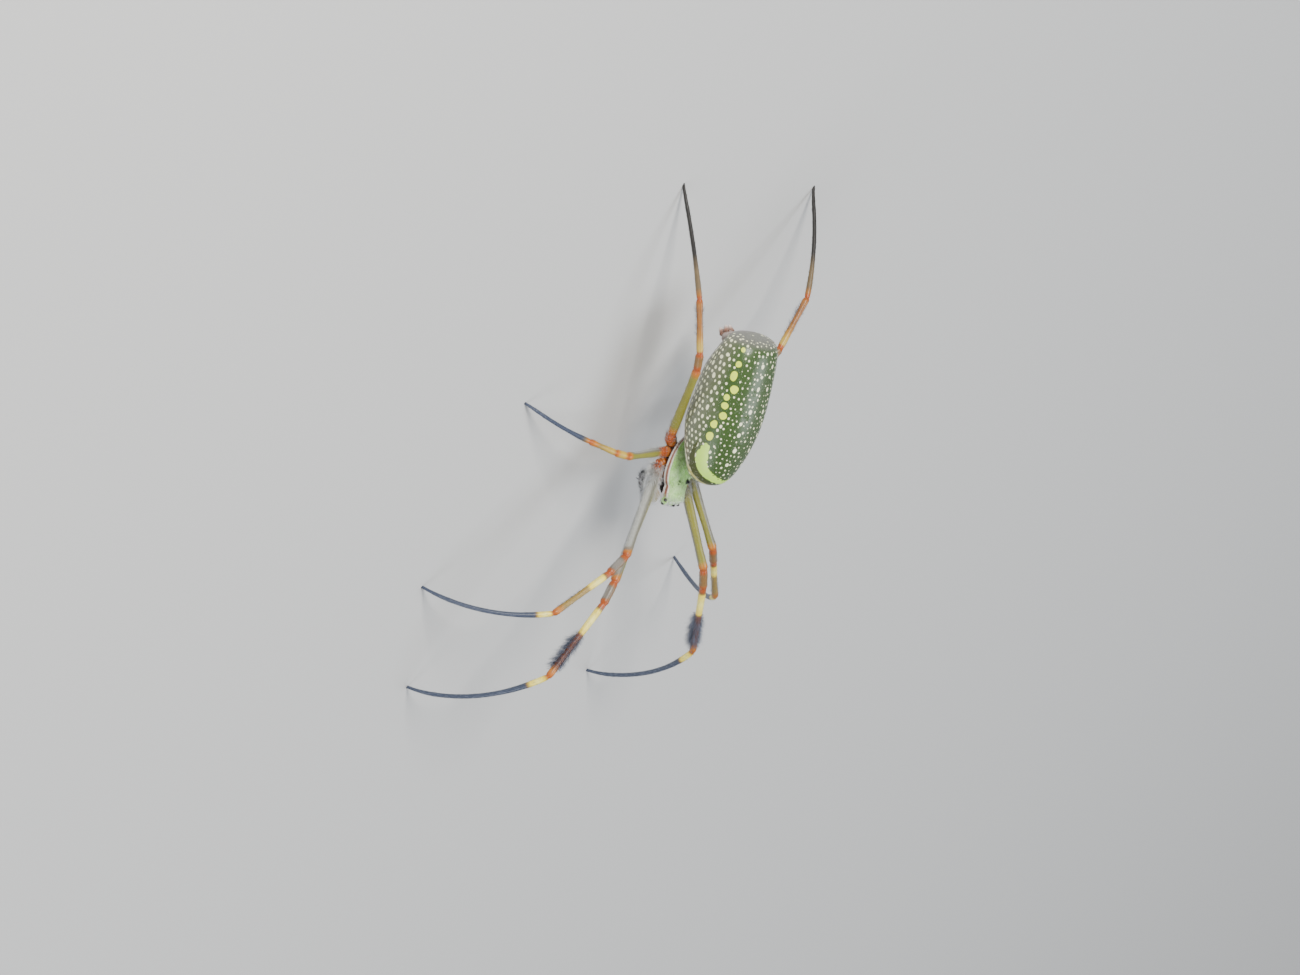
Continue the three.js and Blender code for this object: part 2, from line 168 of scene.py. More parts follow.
def addNode(tree, kind, inputs=None, **settings):
    node = tree.nodes.new(kind)
    for key, value in settings.items():
        setattr(node, key, value)
    for key, value in (inputs or {}).items():
        fill(tree, openSocket(node.inputs, key), value)
    return node


def fill(tree, socket, value):
    if isinstance(value, bpy.types.NodeSocket):
        tree.links.new(value, socket)
    else:
        socket.default_value = value


def openSocket(sockets, key):   # a socket by its place or, among those in use, by its name
    if isinstance(key, int):
        return sockets[key]
    return next(s for s in sockets if s.name == key and s.enabled)


def colorRamp(tree, stops, fac):
    node = addNode(tree, "ShaderNodeValToRGB", {"Fac": fac})
    ramp = node.color_ramp
    while len(ramp.elements) > 1:
        ramp.elements.remove(ramp.elements[-1])
    for i, (place, color) in enumerate(stops):
        stop = ramp.elements[0] if i == 0 else ramp.elements.new(place)
        stop.position = place
        stop.color = (*color, 1)
    return node.outputs["Color"]


def blendColor(tree, a, b, factor, way="MIX"):
    a, b = [(*color, 1) if isinstance(color, tuple) else color for color in (a, b)]
    inputs = {0: factor, 6: a, 7: b}
    return addNode(tree, "ShaderNodeMix", inputs, data_type="RGBA", blend_type=way).outputs[2]


def shaded(tree, color, shade):   # a colour times a plain number
    tint = addNode(tree, "ShaderNodeCombineColor", {0: shade, 1: shade, 2: shade}).outputs[0]
    return blendColor(tree, color, tint, 1.0, "MULTIPLY")


def attribute(tree, name):
    return addNode(tree, "ShaderNodeAttribute", attribute_name=name).outputs["Fac"]


def calc(tree, way, a, b=0.0):
    return addNode(tree, "ShaderNodeMath", {0: a, 1: b}, operation=way).outputs[0]


def times(tree, a, b):
    return calc(tree, "MULTIPLY", a, b)


def remap(tree, value, low, high, to=(0.0, 1.0)):
    settings = {"Value": value, "From Min": low, "From Max": high, "To Min": to[0], "To Max": to[1]}
    return addNode(tree, "ShaderNodeMapRange", settings, interpolation_type="SMOOTHSTEP").outputs[0]


def grain(tree, scale, detail=2.0):   # an even noise through the solid, about 0.5
    place = addNode(tree, "ShaderNodeTexCoord").outputs["Object"]
    noisy = addNode(tree, "ShaderNodeTexNoise", {"Vector": place, "Scale": scale, "Detail": detail})
    return noisy.outputs["Fac"]


def swayed(tree, value, noisy, amount):   # a value with noise added about it
    return calc(tree, "ADD", value, times(tree, calc(tree, "SUBTRACT", noisy, 0.5), amount))


def addSockets(tree, way, sockets):
    for name, kind in sockets:
        tree.interface.new_socket(name, in_out=way, socket_type="NodeSocket" + kind)


# Skin grain: blotches in the colour, a fine relief and an uneven gloss. A finish lists these five values.
finishSockets = [(name, "Float") for name in ("Blotch size", "Blotches", "Pore size", "Relief", "Gloss")]


def skinGrainGroup():
    tree = bpy.data.node_groups.new("skinGrain", "ShaderNodeTree")
    addSockets(tree, "INPUT", [("Color", "Color"), *finishSockets])
    addSockets(tree, "OUTPUT", [("Color", "Color"), ("Roughness", "Float"), ("Normal", "Vector")])
    given = tree.nodes.new("NodeGroupInput").outputs
    blotch = grain(tree, calc(tree, "DIVIDE", 1000.0, given["Blotch size"]), 3.0)
    color = shaded(tree, given["Color"], swayed(tree, 1.0, blotch, times(tree, given["Blotches"], 2.0)))
    pores = grain(tree, calc(tree, "DIVIDE", 1000.0, given["Pore size"]))
    relief = addNode(tree, "ShaderNodeBump",
                     {"Strength": given["Relief"], "Distance": 0.03 * mm, "Height": pores}).outputs["Normal"]
    rough = swayed(tree, given["Gloss"], pores, 0.25)
    addNode(tree, "NodeGroupOutput", {"Color": color, "Roughness": rough, "Normal": relief})
    return tree


skinGrain = skinGrainGroup()


# paint is a colour, or a function that makes one from nodes. clear is the strength of a clear top layer.
def newMaterial(name, paint, finish, clear=0.0):
    material = bpy.data.materials.new(name)
    material.use_nodes = True
    tree = material.node_tree
    shader = tree.nodes["Principled BSDF"]
    shader.inputs["Coat Weight"].default_value = clear
    skin = addNode(tree, "ShaderNodeGroup", node_tree=skinGrain)
    color = paint(tree) if callable(paint) else (*paint, 1)
    for socket, value in zip(skin.inputs, (color, *finish)):
        fill(tree, socket, value)
    for key, target in (("Color", "Base Color"), ("Roughness", "Roughness"), ("Normal", "Normal")):
        tree.links.new(skin.outputs[key], shader.inputs[target])
    return material


# Pieces

def newPiece(name, shape, material, nodes=()):
    piece = linked(meshObject(name, shape))
    piece.data.materials.append(material)
    piece.data.shade_smooth()
    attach(piece, "root")
    if nodes:
        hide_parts(*nodes)
    return piece


def sideName(side):
    return "right" if side < 0 else "left"


# An unwrap by distance and turn. Faces across the seam run on past the edge of the turn.
def unwrap(shape, along, around):
    uv = shape.loops.layers.uv.new("skinUv")
    for face in shape.faces:
        turns = [loop.vert[around] for loop in face.loops]
        crossing = max(turns) - min(turns) > 0.5
        for loop, turn in zip(face.loops, turns):
            if crossing and turn < 0.5:
                turn += 1
            loop[uv].uv = (0.02 + turn * 0.93, 0.02 + loop.vert[along] * 0.96)


# Unwraps a small added body round its own height into a strip of the map beside the main unwrap.
def unwrapAside(shape, verts, corner, wide):
    uv = shape.loops.layers.uv["skinUv"]
    inside = set(verts)
    centre = sum((vert.co for vert in verts), Vector()) / len(verts)
    half = max((vert.co - centre).length for vert in verts)
    for face in {face for vert in verts for face in vert.link_faces}:
        if not inside.issuperset(face.verts):
            continue
        offs = [loop.vert.co - centre for loop in face.loops]
        turns = [math.atan2(off.x, off.y) / math.tau + 0.5 for off in offs]
        crossing = max(turns) - min(turns) > 0.5
        for loop, off, turn in zip(face.loops, offs, turns):
            turn += 1 if crossing and turn < 0.5 else 0
            loop[uv].uv = (corner[0] + turn * wide * 0.6, corner[1] + (off.z / half + 1) / 2 * wide * 6)


# A rounded body along Y, as the construction shapes it: t runs from -1 at its front to 1 at its back.
# form holds its length and, as functions of t, its half width and its height above and below its axis.
# A body's dictionary gives each of these as a size and a curve, and how blunt its front and back are.
even = [(-1, 1), (1, 1)]


def bodyForm(body):
    def dimension(size, curve):
        return lambda t: size * between(curve, t) * roundEnd(t, body["blunt"][0 if t < 0 else 1])
    form = {key: dimension(*body[key]) for key in ("halfWidth", "above", "below")}
    return {"length": body["length"], "square": body.get("square", 2), **form}


def formPoint(form, t, angle):
    across, up = math.sin(angle), math.cos(angle)
    square = form["square"]
    stretch = (abs(across) ** square + abs(up) ** square) ** (-1 / square)
    height = form["above"](t) if up > 0 else form["below"](t)
    return Vector((across * stretch * form["halfWidth"](t), t * form["length"] / 2, up * stretch * height))


# Places along a rounded body at even steps over its surface, from one end to the other
def evenPlaces(form, count):
    share = [(i / 400) ** 5 for i in range(401)]
    samples = [part - 1 for part in share] + [1 - part for part in reversed(share[:-1])]
    runs, last = [0.0], (-form["length"] / 2, 0.0)
    for t in samples[1:]:
        here = (t * form["length"] / 2, form["halfWidth"](t))
        runs.append(runs[-1] + math.dist(here, last))
        last = here
    places, k = [], 0
    for i in range(count + 1):
        run = runs[-1] * i / count
        while k < len(runs) - 2 and runs[k + 1] < run:
            k += 1
        onward = clamp((run - runs[k]) / max(runs[k + 1] - runs[k], 1e-9))
        places.append(mix(samples[k], samples[k + 1], onward))
    return places, runs[-1]


def roundedBody(form, sides, rings):
    shape = bmesh.new()
    bmesh.ops.create_uvsphere(shape, u_segments=sides, v_segments=rings, radius=1)
    bmesh.ops.rotate(shape, verts=shape.verts, matrix=Matrix.Rotation(math.radians(-90), 3, "X"))
    layers = {key: shape.verts.layers.float.new(key) for key in ("along", "around", "fromTop", "run")}
    places = evenPlaces(form, rings)[0]
    for vert in shape.verts:
        ring = round(math.acos(clamp(-vert.co.y, -1, 1)) / math.pi * rings)
        atPole = ring in (0, rings)
        t, angle = places[ring], 0 if atPole else math.atan2(vert.co.x, vert.co.z)
        vert.co = formPoint(form, t, angle)
        vert[layers["along"]] = (t + 1) / 2
        vert[layers["around"]] = angle / math.tau + 0.5
        vert[layers["fromTop"]] = 0.5 if atPole else abs(angle) / math.pi   # 0 at the top, 1 at the bottom
        vert[layers["run"]] = ring / rings
    unwrap(shape, layers["run"], layers["around"])
    return shape


# The path of a leg or palp in its own upright plane, by knots of distance and pitch
class LimbPath:
    def __init__(self, knots, step=0.1):
        self.step = step
        self.points = [(0.0, 0.0)]
        self.pitches = [math.radians(between(knots, 0, False))]
        for i in range(1, int(knots[-1][0] / step) + 3):
            pitch = math.radians(between(knots, i * step, False))
            x, z = self.points[-1]
            self.points.append((x + math.cos(pitch) * step, z + math.sin(pitch) * step))
            self.pitches.append(pitch)

    def at(self, distance):
        place = clamp(distance / self.step, 0, len(self.points) - 1.001)
        i = int(place)
        share = place - i
        (x0, z0), (x1, z1) = self.points[i], self.points[i + 1]
        return mix(x0, x1, share), mix(z0, z1, share), mix(self.pitches[i], self.pitches[i + 1], share)

    def way(self, distance):
        pitch = self.at(distance)[2]
        return Vector((math.cos(pitch), 0, math.sin(pitch)))


# A turned tube bent along a path. width gives its radius from the distance and the turn.
def bentTube(path, distances, width, sides, total, place):
    shape = bmesh.new()
    rim = [shape.verts.new((s, 0, max(width(s, 0), 0.0))) for s in distances]
    for a, b in zip(rim, rim[1:]):
        shape.edges.new((a, b))
    bmesh.ops.spin(shape, geom=shape.verts[:] + shape.edges[:], cent=(0, 0, 0), axis=(1, 0, 0),
                   angle=math.tau, steps=sides, use_merge=True)
    bmesh.ops.remove_doubles(shape, verts=shape.verts, dist=1e-5)
    bmesh.ops.recalc_face_normals(shape, faces=shape.faces)
    along, around = [shape.verts.layers.float.new(key) for key in ("along", "around")]
    for vert in shape.verts:
        s = vert.co.x
        radius = math.hypot(vert.co.y, vert.co.z)
        angle = math.atan2(vert.co.y, vert.co.z)
        if radius > 1e-6:
            radius = width(s, angle)
        x, z, pitch = path.at(s)
        out, across = radius * math.cos(angle), radius * math.sin(angle)
        point = place @ Vector((x - math.sin(pitch) * out, across, z + math.cos(pitch) * out))
        point.z = max(point.z, 0.002)
        vert.co = point * mm
        vert[along] = s / total
        vert[around] = angle / math.tau + 0.5
    unwrap(shape, along, around)
    return shape


def inMetres(shape, place):
    bmesh.ops.transform(shape, matrix=Matrix.Scale(mm, 4) @ place, verts=shape.verts)
    return shape


# Hair: one Geometry Nodes tree plants a tuft at points spread over a skin. The skin carries how many tufts
# there are (density, per square mm), their length in mm, the way they lie, and how far they stand up.
def coatGroup():
    tree = bpy.data.node_groups.new("coatOfTufts", "GeometryNodeTree")
    tree.is_modifier = True
    addSockets(tree, "INPUT", [("Skin", "Geometry"), ("Tuft", "Object"), ("Unruly", "Float"),
                               ("Seed", "Int"), ("Finish", "Material")])
    addSockets(tree, "OUTPUT", [("Coat", "Geometry")])
    given = tree.nodes.new("NodeGroupInput").outputs

    def named(name, kind="FLOAT"):
        return addNode(tree, "GeometryNodeInputNamedAttribute", {"Name": name}, data_type=kind).outputs[0]

    def together(a, b):
        return addNode(tree, "ShaderNodeVectorMath", {0: a, 1: b}, operation="ADD").outputs[0]

    def scaled(a, scale):
        return addNode(tree, "ShaderNodeVectorMath", {0: a, "Scale": scale}, operation="SCALE").outputs[0]

    def kept(geometry, name, value, kind, domain="POINT"):
        inputs = {"Geometry": geometry, "Name": name, "Value": value}
        node = addNode(tree, "GeometryNodeStoreNamedAttribute", inputs, data_type=kind, domain=domain)
        return node.outputs[0]

    def drawn(low, high, seed):
        node = addNode(tree, "FunctionNodeRandomValue", {2: low, 3: high, "Seed": seed}, data_type="FLOAT")
        return node.outputs[1]

    inputs = {"Mesh": given["Skin"], "Density": times(tree, named("density"), 1e6), "Seed": given["Seed"]}
    spread = addNode(tree, "GeometryNodeDistributePointsOnFaces", inputs, distribute_method="RANDOM")
    points = kept(spread.outputs["Points"], "out", spread.outputs["Normal"], "FLOAT_VECTOR")
    points = kept(points, "tone", drawn(0.0, 1.0, 5), "FLOAT")
    lift, out = named("lift"), named("out", "FLOAT_VECTOR")
    inputs = {0: (-1.0, -1.0, -1.0), 1: (1.0, 1.0, 1.0), "Seed": 9}
    astray = addNode(tree, "FunctionNodeRandomValue", inputs, data_type="FLOAT_VECTOR").outputs[0]
    lie = scaled(named("lie", "FLOAT_VECTOR"), calc(tree, "SUBTRACT", 1.0, lift))
    way = together(together(lie, scaled(out, lift)), scaled(astray, given["Unruly"]))
    stand = addNode(tree, "FunctionNodeAlignRotationToVector", {"Vector": way}, axis="Z")
    turn = addNode(tree, "FunctionNodeAlignRotationToVector", {"Rotation": stand.outputs[0], "Vector": out},
                   axis="X", pivot_axis="Z")
    size = times(tree, times(tree, named("size"), mm), drawn(0.65, 1.15, 3))
    tuft = addNode(tree, "GeometryNodeObjectInfo", {"Object": given["Tuft"]})
    planted = addNode(tree, "GeometryNodeInstanceOnPoints",
                      {"Points": points, "Instance": tuft.outputs["Geometry"], "Rotation": turn.outputs[0],
                       "Scale": size})
    real = addNode(tree, "GeometryNodeRealizeInstances", {0: planted.outputs[0]}).outputs[0]
    patch = together(named("skinUv", "FLOAT_VECTOR"), named("tuftUv", "FLOAT_VECTOR"))
    coat = kept(real, "OFBake", patch, "FLOAT2", "CORNER")
    finish = addNode(tree, "GeometryNodeSetMaterial", {"Geometry": coat, "Material": given["Finish"]})
    addNode(tree, "NodeGroupOutput", {0: finish.outputs[0]})
    return tree


coatOfTufts = coatGroup()
patchSide = 0.003   # the part of the map that one tuft takes


# A tuft of a few pointed hairs of unit length along Z, each curling over towards -X
def makeTuft(name, hairs, girth, curl):
    shape = bmesh.new()
    for lean, turn, length in hairs:
        hair = bmesh.ops.create_cone(shape, cap_ends=True, segments=3, radius1=girth, radius2=0,
                                     depth=1)["verts"]
        bmesh.ops.translate(shape, vec=(0, 0, 0.5), verts=hair)
        edges = list({edge for vert in hair for edge in vert.link_edges})
        faces = list({face for vert in hair for face in vert.link_faces})
        cut = bmesh.ops.bisect_plane(shape, geom=hair + edges + faces, plane_co=(0, 0, 0.5),
                                     plane_no=(0, 0, 1))
        hair += [item for item in cut["geom_cut"] if isinstance(item, bmesh.types.BMVert)]
        for vert in hair:
            vert.co.x -= curl * vert.co.z ** 2
        tilt = Matrix.Rotation(math.radians(turn), 3, "Z") @ Matrix.Rotation(math.radians(lean), 3, "X")
        bmesh.ops.transform(shape, matrix=tilt * length, verts=hair)
    uv = shape.loops.layers.uv.new("tuftUv")
    for face in shape.faces:
        for loop in face.loops:
            x, y, z = loop.vert.co
            loop[uv].uv = ((x + 0.6 * y) * patchSide * 0.5 + patchSide * 0.1 * z,
                           (z - 0.5 + 0.4 * y) * patchSide)
    tuft = meshObject(name, shape)
    tuft.data.shade_smooth()
    return tuft


tufts = {
    "seta": makeTuft("seta", [(0, 0, 1)], 0.035, 0.25),
    "pair": makeTuft("pair", [(9, 0, 1), (-10, 40, 0.8)], 0.022, 0.3),
    "brush": makeTuft("brush", [(0, 0, 1), (11, 20, 0.9), (-11, 75, 0.85), (13, 120, 0.7)], 0.0125, 0.2),
    "down": makeTuft("down", [(0, 0, 1), (14, 30, 0.85), (-14, 80, 0.8)], 0.055, 0.35),
}


# Grows a coat piece on a skin. rule gives each vertex's tufts per square mm, their length, lift and lie.
# unruly is how far the tufts stray from their lie.
def growCoat(name, skin, rule, tuft, material, unruly, seed):
    mesh = skin.data.copy()
    mesh.materials.clear()
    root = linked(bpy.data.objects.new(name + "Root", mesh))
    numbers = ("density", "size", "lift")
    for key in numbers:
        mesh.attributes.new(key, "FLOAT", "POINT")
    mesh.attributes.new("lie", "FLOAT_VECTOR", "POINT")
    layers = {key: mesh.attributes[key].data for key in (*numbers, "lie", "along", "around")}
    for i, vert in enumerate(mesh.vertices):
        *values, way = rule(layers["along"][i].value, layers["around"][i].value, vert)
        for key, value in zip(numbers, values):
            layers[key][i].value = value
        layers["lie"][i].vector = (way - vert.normal * way.dot(vert.normal)).normalized()
    grow = root.modifiers.new("coat", "NODES")
    grow.node_group = coatOfTufts
    values = {"Tuft": tuft, "Unruly": unruly, "Seed": seed, "Finish": material}
    for item in coatOfTufts.interface.items_tree:
        if item.in_out == "INPUT" and item.name in values:
            grow[item.identifier] = values[item.name]
    bpy.context.view_layer.update()
    ready = root.evaluated_get(bpy.context.evaluated_depsgraph_get())
    hairs = bpy.data.meshes.new_from_object(ready)
    hairs.name = name
    for spare in (*numbers, "lie", "out", "skinUv", "tuftUv"):
        if spare in hairs.attributes:
            hairs.attributes.remove(hairs.attributes[spare])
    bpy.data.objects.remove(root)
    coat = linked(bpy.data.objects.new(name, hairs))
    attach(coat, "root")


def evenCoat(density, size, lift, way):   # a rule for the same hairs everywhere
    return lambda along, around, vert: (density, size, lift, way)


# Where the front and hind bodies stand
frontBody = {"height": 9.3, "pitch": 7}
hindBody = {"side": -0.8, "middle": 9.45, "height": 12.0, "pitch": 7.5, "roll": 6}


def turnBy(degrees, axis):
    return Matrix.Rotation(math.radians(degrees), 4, axis)


def limbTurn(side, yaw):   # turns a limb from +X to its yaw, in degrees forward from straight aside
    yaw = math.radians(yaw)
    return Matrix.Rotation(math.atan2(-math.sin(yaw), side * math.cos(yaw)), 4, "Z")


frontPlace = Matrix.Translation(origin + Vector((0, 0, frontBody["height"])))
frontPlace = frontPlace @ turnBy(-frontBody["pitch"], "X")
hindMiddle = Vector((hindBody["side"], hindBody["middle"], hindBody["height"]))
hindPlace = Matrix.Translation(origin + hindMiddle) @ turnBy(-hindBody["pitch"], "X")
hindPlace = hindPlace @ turnBy(-hindBody["roll"], "Y")

# Colours, as linear red, green and blue
hues = {
    "olive": (0.25, 0.235, 0.034),
    "orange": (0.53, 0.185, 0.018),
    "redOrange": (0.39, 0.075, 0.009),
    "brown": (0.23, 0.12, 0.035),
    "redBrown": (0.20, 0.065, 0.03),
    "gold": (0.56, 0.38, 0.06),
    "bronze": (0.33, 0.22, 0.05),
    "amber": (0.46, 0.22, 0.035),
    "yellow": (0.98, 0.76, 0.08),
    "paleYellow": (0.98, 0.88, 0.25),
    "drab": (0.17, 0.12, 0.06),
    "deepOrange": (0.36, 0.14, 0.025),
    "slate": (0.046, 0.060, 0.100),
    "soot": (0.022, 0.020, 0.018),
    "black": (0.010, 0.011, 0.013),
    "silver": (0.80, 0.81, 0.80),
}

# Legs: the construction's sizes and poses
legSizes = {
    1: {"side": 2.9, "forward": 2.0, "thick": 1.12, "lengths": (13.5, 3.1, 11.0, 15.1, 3.4)},
    2: {"side": 3.3, "forward": 0.6, "thick": 1.08, "lengths": (12.1, 3.2, 8.8, 13.2, 3.2)},
    3: {"side": 3.2, "forward": -1.1, "thick": 0.98, "lengths": (8.3, 2.2, 4.3, 7.6, 2.6)},
    4: {"side": 2.7, "forward": -2.8, "thick": 1.05, "lengths": (11.7, 2.4, 7.0, 11.5, 2.6)},
}
# yaw, lean and the pitches of femur, patella, tibia, the metatarsus's start and end, and the tarsus's end
legPoses = {
    "right_1": (59.5, 6, 19.5, 13.5, 2, -31.5, -67.5, -79.5),
    "right_2": (41.5, -16, 25, 2.5, -6.5, -36.5, -67.5, -77),
    "right_3": (-3.5, -15.5, 4, -15.5, -26, -27.5, -47.5, -45.5),
    "right_4": (-66.5, -18.5, 9.5, -4, -20, -28.5, -38.5, -33.5),
    "left_1": (61, 11, 20, 6.5, 0, -28.5, -63, -78),
    "left_2": (45.5, -23, 25, -6, -5.5, -30.5, -74.5, -77.5),
    "left_3": (-6, -15, 5, -14, -24, -28, -48, -48),
    "left_4": (-58.5, -15, 6, -1.5, -11.5, -27.5, -42, -36),
}
for name, (yaw, lean, *pitches) in legPoses.items():
    side, kind = name.split("_")
    legPoses[name] = {"side": -1 if side == "right" else 1, "kind": int(kind), "yaw": yaw, "lean": lean,
                      "pitches": pitches}
legMake = {
    "trochanter": 1.0,
    "hipDrop": 1.2,       # the trochanters below the middle of the front body
    "bend": 0.5,          # half the stretch over which a leg bends at a joint
    "footSink": 0.07,
    "footRound": 0.12,
    "sides": 14,
    "ringGap": 0.3,
    "jointRingGap": 0.09,
    # thickness along each segment, as a share of the leg's
    "trochanterShape": [(0, 0.2), (0.12, 1.0), (0.35, 1.16), (0.7, 1.12), (1, 1.0)],
    "femurShape": [(0, 1.0), (0.2, 1.06), (0.75, 0.9), (0.93, 0.98), (1, 0.94)],
    "patellaShape": [(0, 0.86), (0.3, 0.94), (0.85, 0.9), (1, 0.78)],
    "tibiaShape": [(0, 0.74), (0.12, 0.8), (0.6, 0.66), (0.92, 0.76), (1, 0.7)],
    "footShape": [(0, 0.6), (0.06, 0.66), (0.4, 0.5), (0.8, 0.46), (0.97, 0.34), (1, 0.34)],
    "folds": (0.34, 0.26, 0.16, 0.26, 0.08),   # depth of the soft fold at each joint
}


def legJoints(kind):   # distances of the femur's start, knee, tibia's start, ankle, tarsus's start and tip
    marks = [legMake["trochanter"]]
    for length in legSizes[kind]["lengths"]:
        marks.append(marks[-1] + length)
    return marks


def legPlace(pose):
    leg = legSizes[pose["kind"]]
    lift = math.radians(frontBody["pitch"])
    start = Vector((pose["side"] * leg["side"], -leg["forward"] * math.cos(lift),
                    frontBody["height"] + leg["forward"] * math.sin(lift) - legMake["hipDrop"]))
    turn = limbTurn(pose["side"], pose["yaw"]) @ turnBy(-pose["side"] * pose["lean"], "X")
    return Matrix.Translation(origin + start) @ turn


def legPath(pose):   # the first three pitches are trimmed until the foot is at the floor
    start, knee, tibia, ankle, tarsus, tip = legJoints(pose["kind"])
    hipHeight = legPlace(pose).translation.z
    drop = (hipHeight + legMake["footSink"]) / math.cos(math.radians(pose["lean"]))
    bend = legMake["bend"]
    trim = 0
    for _ in range(20):
        a, b, c, d, e, f = [pitch + (trim if i < 3 else 0) for i, pitch in enumerate(pose["pitches"])]
        path = LimbPath([(0, a), (knee - bend, a), (knee + bend, b), (tibia - bend, b), (tibia + bend, c),
                         (ankle - bend, c), (ankle + bend, d), (tarsus, e), (tip, f)])
        trim += math.degrees((-drop - path.at(tip)[1]) / ankle)
    return path


def legRadius(kind):
    thick = legSizes[kind]["thick"]
    joints = legJoints(kind)
    start, knee, tibia, ankle, tarsus, tip = joints
    spans = [(0, start, "trochanterShape"), (start, knee, "femurShape"), (knee, tibia, "patellaShape"),
             (tibia, ankle, "tibiaShape"), (ankle, tip, "footShape")]

    def radius(s, angle):
        for low, high, key in spans:
            if s <= high:
                break
        size = thick / 2 * between(legMake[key], (s - low) / (high - low))
        below = 0.65 - 0.35 * math.cos(angle)   # a fold is deeper on the underside
        for mark, fold in zip(joints, legMake["folds"]):
            size *= 1 - fold * below * hump(s - mark, 0.13)
            size *= 1 + 0.06 * hump(s - mark + 0.45, 0.3)
        end = tip + legMake["footRound"]
        return size * roundEnd(max(0, (s - end + 0.3) / 0.3), 2)
    return radius


def legDistances(kind):
    joints = legJoints(kind)
    s, marks = 0.0, []
    end = joints[-1] + legMake["footRound"]
    while s < end:
        marks.append(s)
        near = min(abs(s - joint) for joint in joints)
        s += legMake["jointRingGap"] if near < 0.8 else legMake["ringGap"]
    return marks + [end]


# Colours along each kind of leg. An entry is a joint's number, an offset in mm from it, and a hue.
hipStart = [(0, -1, "redOrange"), (0, 0.1, "redOrange"), (0, 0.5, "orange")]
toTibia = [*hipStart, (0, 1.3, "olive"), (1, -1.5, "olive"), (1, -0.6, "orange"), (1, -0.1, "redOrange"),
           (1, 0.35, "redOrange"), (1, 0.8, "brown"), (2, -0.8, "brown"), (2, -0.3, "redOrange"),
           (2, 0.3, "redOrange")]
legPaint = {
    1: [*toTibia, (2, 0.75, "brown"), (2, 0.95, "yellow"), (2, 2.4, "paleYellow"), (2, 4.3, "yellow"),
        (2, 4.6, "redBrown"), (3, -1.9, "redBrown"), (3, -0.8, "orange"), (3, 0.1, "redOrange"),
        (3, 0.45, "yellow"), (3, 1.2, "paleYellow"), (3, 2.3, "yellow"), (3, 2.65, "brown"),
        (3, 2.85, "slate"), (5, 0, "slate")],
    2: [*toTibia, (2, 0.65, "brown"), (2, 0.85, "yellow"), (2, 1.9, "paleYellow"), (2, 3.0, "yellow"),
        (2, 3.4, "bronze"), (3, -1.7, "bronze"), (3, -0.7, "orange"), (3, 0.1, "redOrange"),
        (3, 0.45, "yellow"), (3, 1.0, "paleYellow"), (3, 1.8, "yellow"), (3, 2.1, "brown"),
        (3, 2.3, "slate"), (5, 0, "slate")],
    3: [*hipStart, (0, 1.2, "olive"), (1, -0.8, "olive"), (1, -0.3, "orange"), (1, 0.15, "redOrange"),
        (1, 0.5, "orange"), (1, 0.8, "gold"), (2, -0.6, "gold"), (2, -0.2, "orange"),
        (2, 0.1, "redOrange"), (2, 0.6, "gold"), (3, -1.6, "bronze"), (3, -0.7, "orange"),
        (3, 0.1, "redOrange"), (3, 0.5, "orange"), (3, 0.9, "drab"), (3, 1.4, "slate"), (5, 0, "slate")],
    4: [(0, -1, "redOrange"), (0, 0.2, "redOrange"), (0, 0.7, "orange"), (0, 1.6, "olive"),
        (1, -1.3, "olive"), (1, -0.5, "orange"), (1, 0.1, "redOrange"), (1, 0.45, "redOrange"),
        (1, 0.9, "brown"), (2, -0.5, "brown"), (2, -0.1, "redOrange"), (2, 0.25, "redOrange"),
        (2, 0.5, "gold"), (2, 1.1, "gold"), (2, 2.2, "amber"), (2, 3.6, "deepOrange"),
        (3, -0.5, "deepOrange"), (3, 0.0, "redOrange"), (3, 0.3, "redOrange"), (3, 0.6, "deepOrange"),
        (3, 1.5, "drab"), (3, 3.4, "drab"), (3, 5.6, "soot"), (5, 0, "soot")],
}


def legStops(kind):
    joints = legJoints(kind)
    total = joints[-1] + legMake["footRound"]
    return [(clamp((joints[number] + offset) / total), hues[hue]) for number, offset, hue in legPaint[kind]]


def legMaterial(kind):
    def paint(tree):
        color = colorRamp(tree, legStops(kind), attribute(tree, "along"))
        # The silver face is painted over in grey: pale grey where the share is high, as a painted sunlit
        # sheen, and dark grey where it is low, as painted shade beside it
        silverSunlit = attribute(tree, "silverSunlit")
        shadeToSheenGrey = blendColor(tree, (0.17, 0.165, 0.15), (0.44, 0.45, 0.44), remap(tree, silverSunlit, 0.35, 0.95))
        return blendColor(tree, color, shadeToSheenGrey, times(tree, remap(tree, silverSunlit, 0.02, 0.32), 0.85))
    return newMaterial(f"legShell{kind}", paint, (0.9, 0.16, 0.08, 0.35, 0.36))


def hairMaterial(name, paint, tones=0.5, gloss=0.5):   # tones is how much darker the darkest tufts are
    def toned(tree):
        color = paint(tree) if callable(paint) else paint
        return shaded(tree, color, remap(tree, attribute(tree, "tone"), 0.0, 1.0, (1 - tones, 1.0)))
    return newMaterial(name, toned, (1.5, 0, 0.12, 0, gloss))


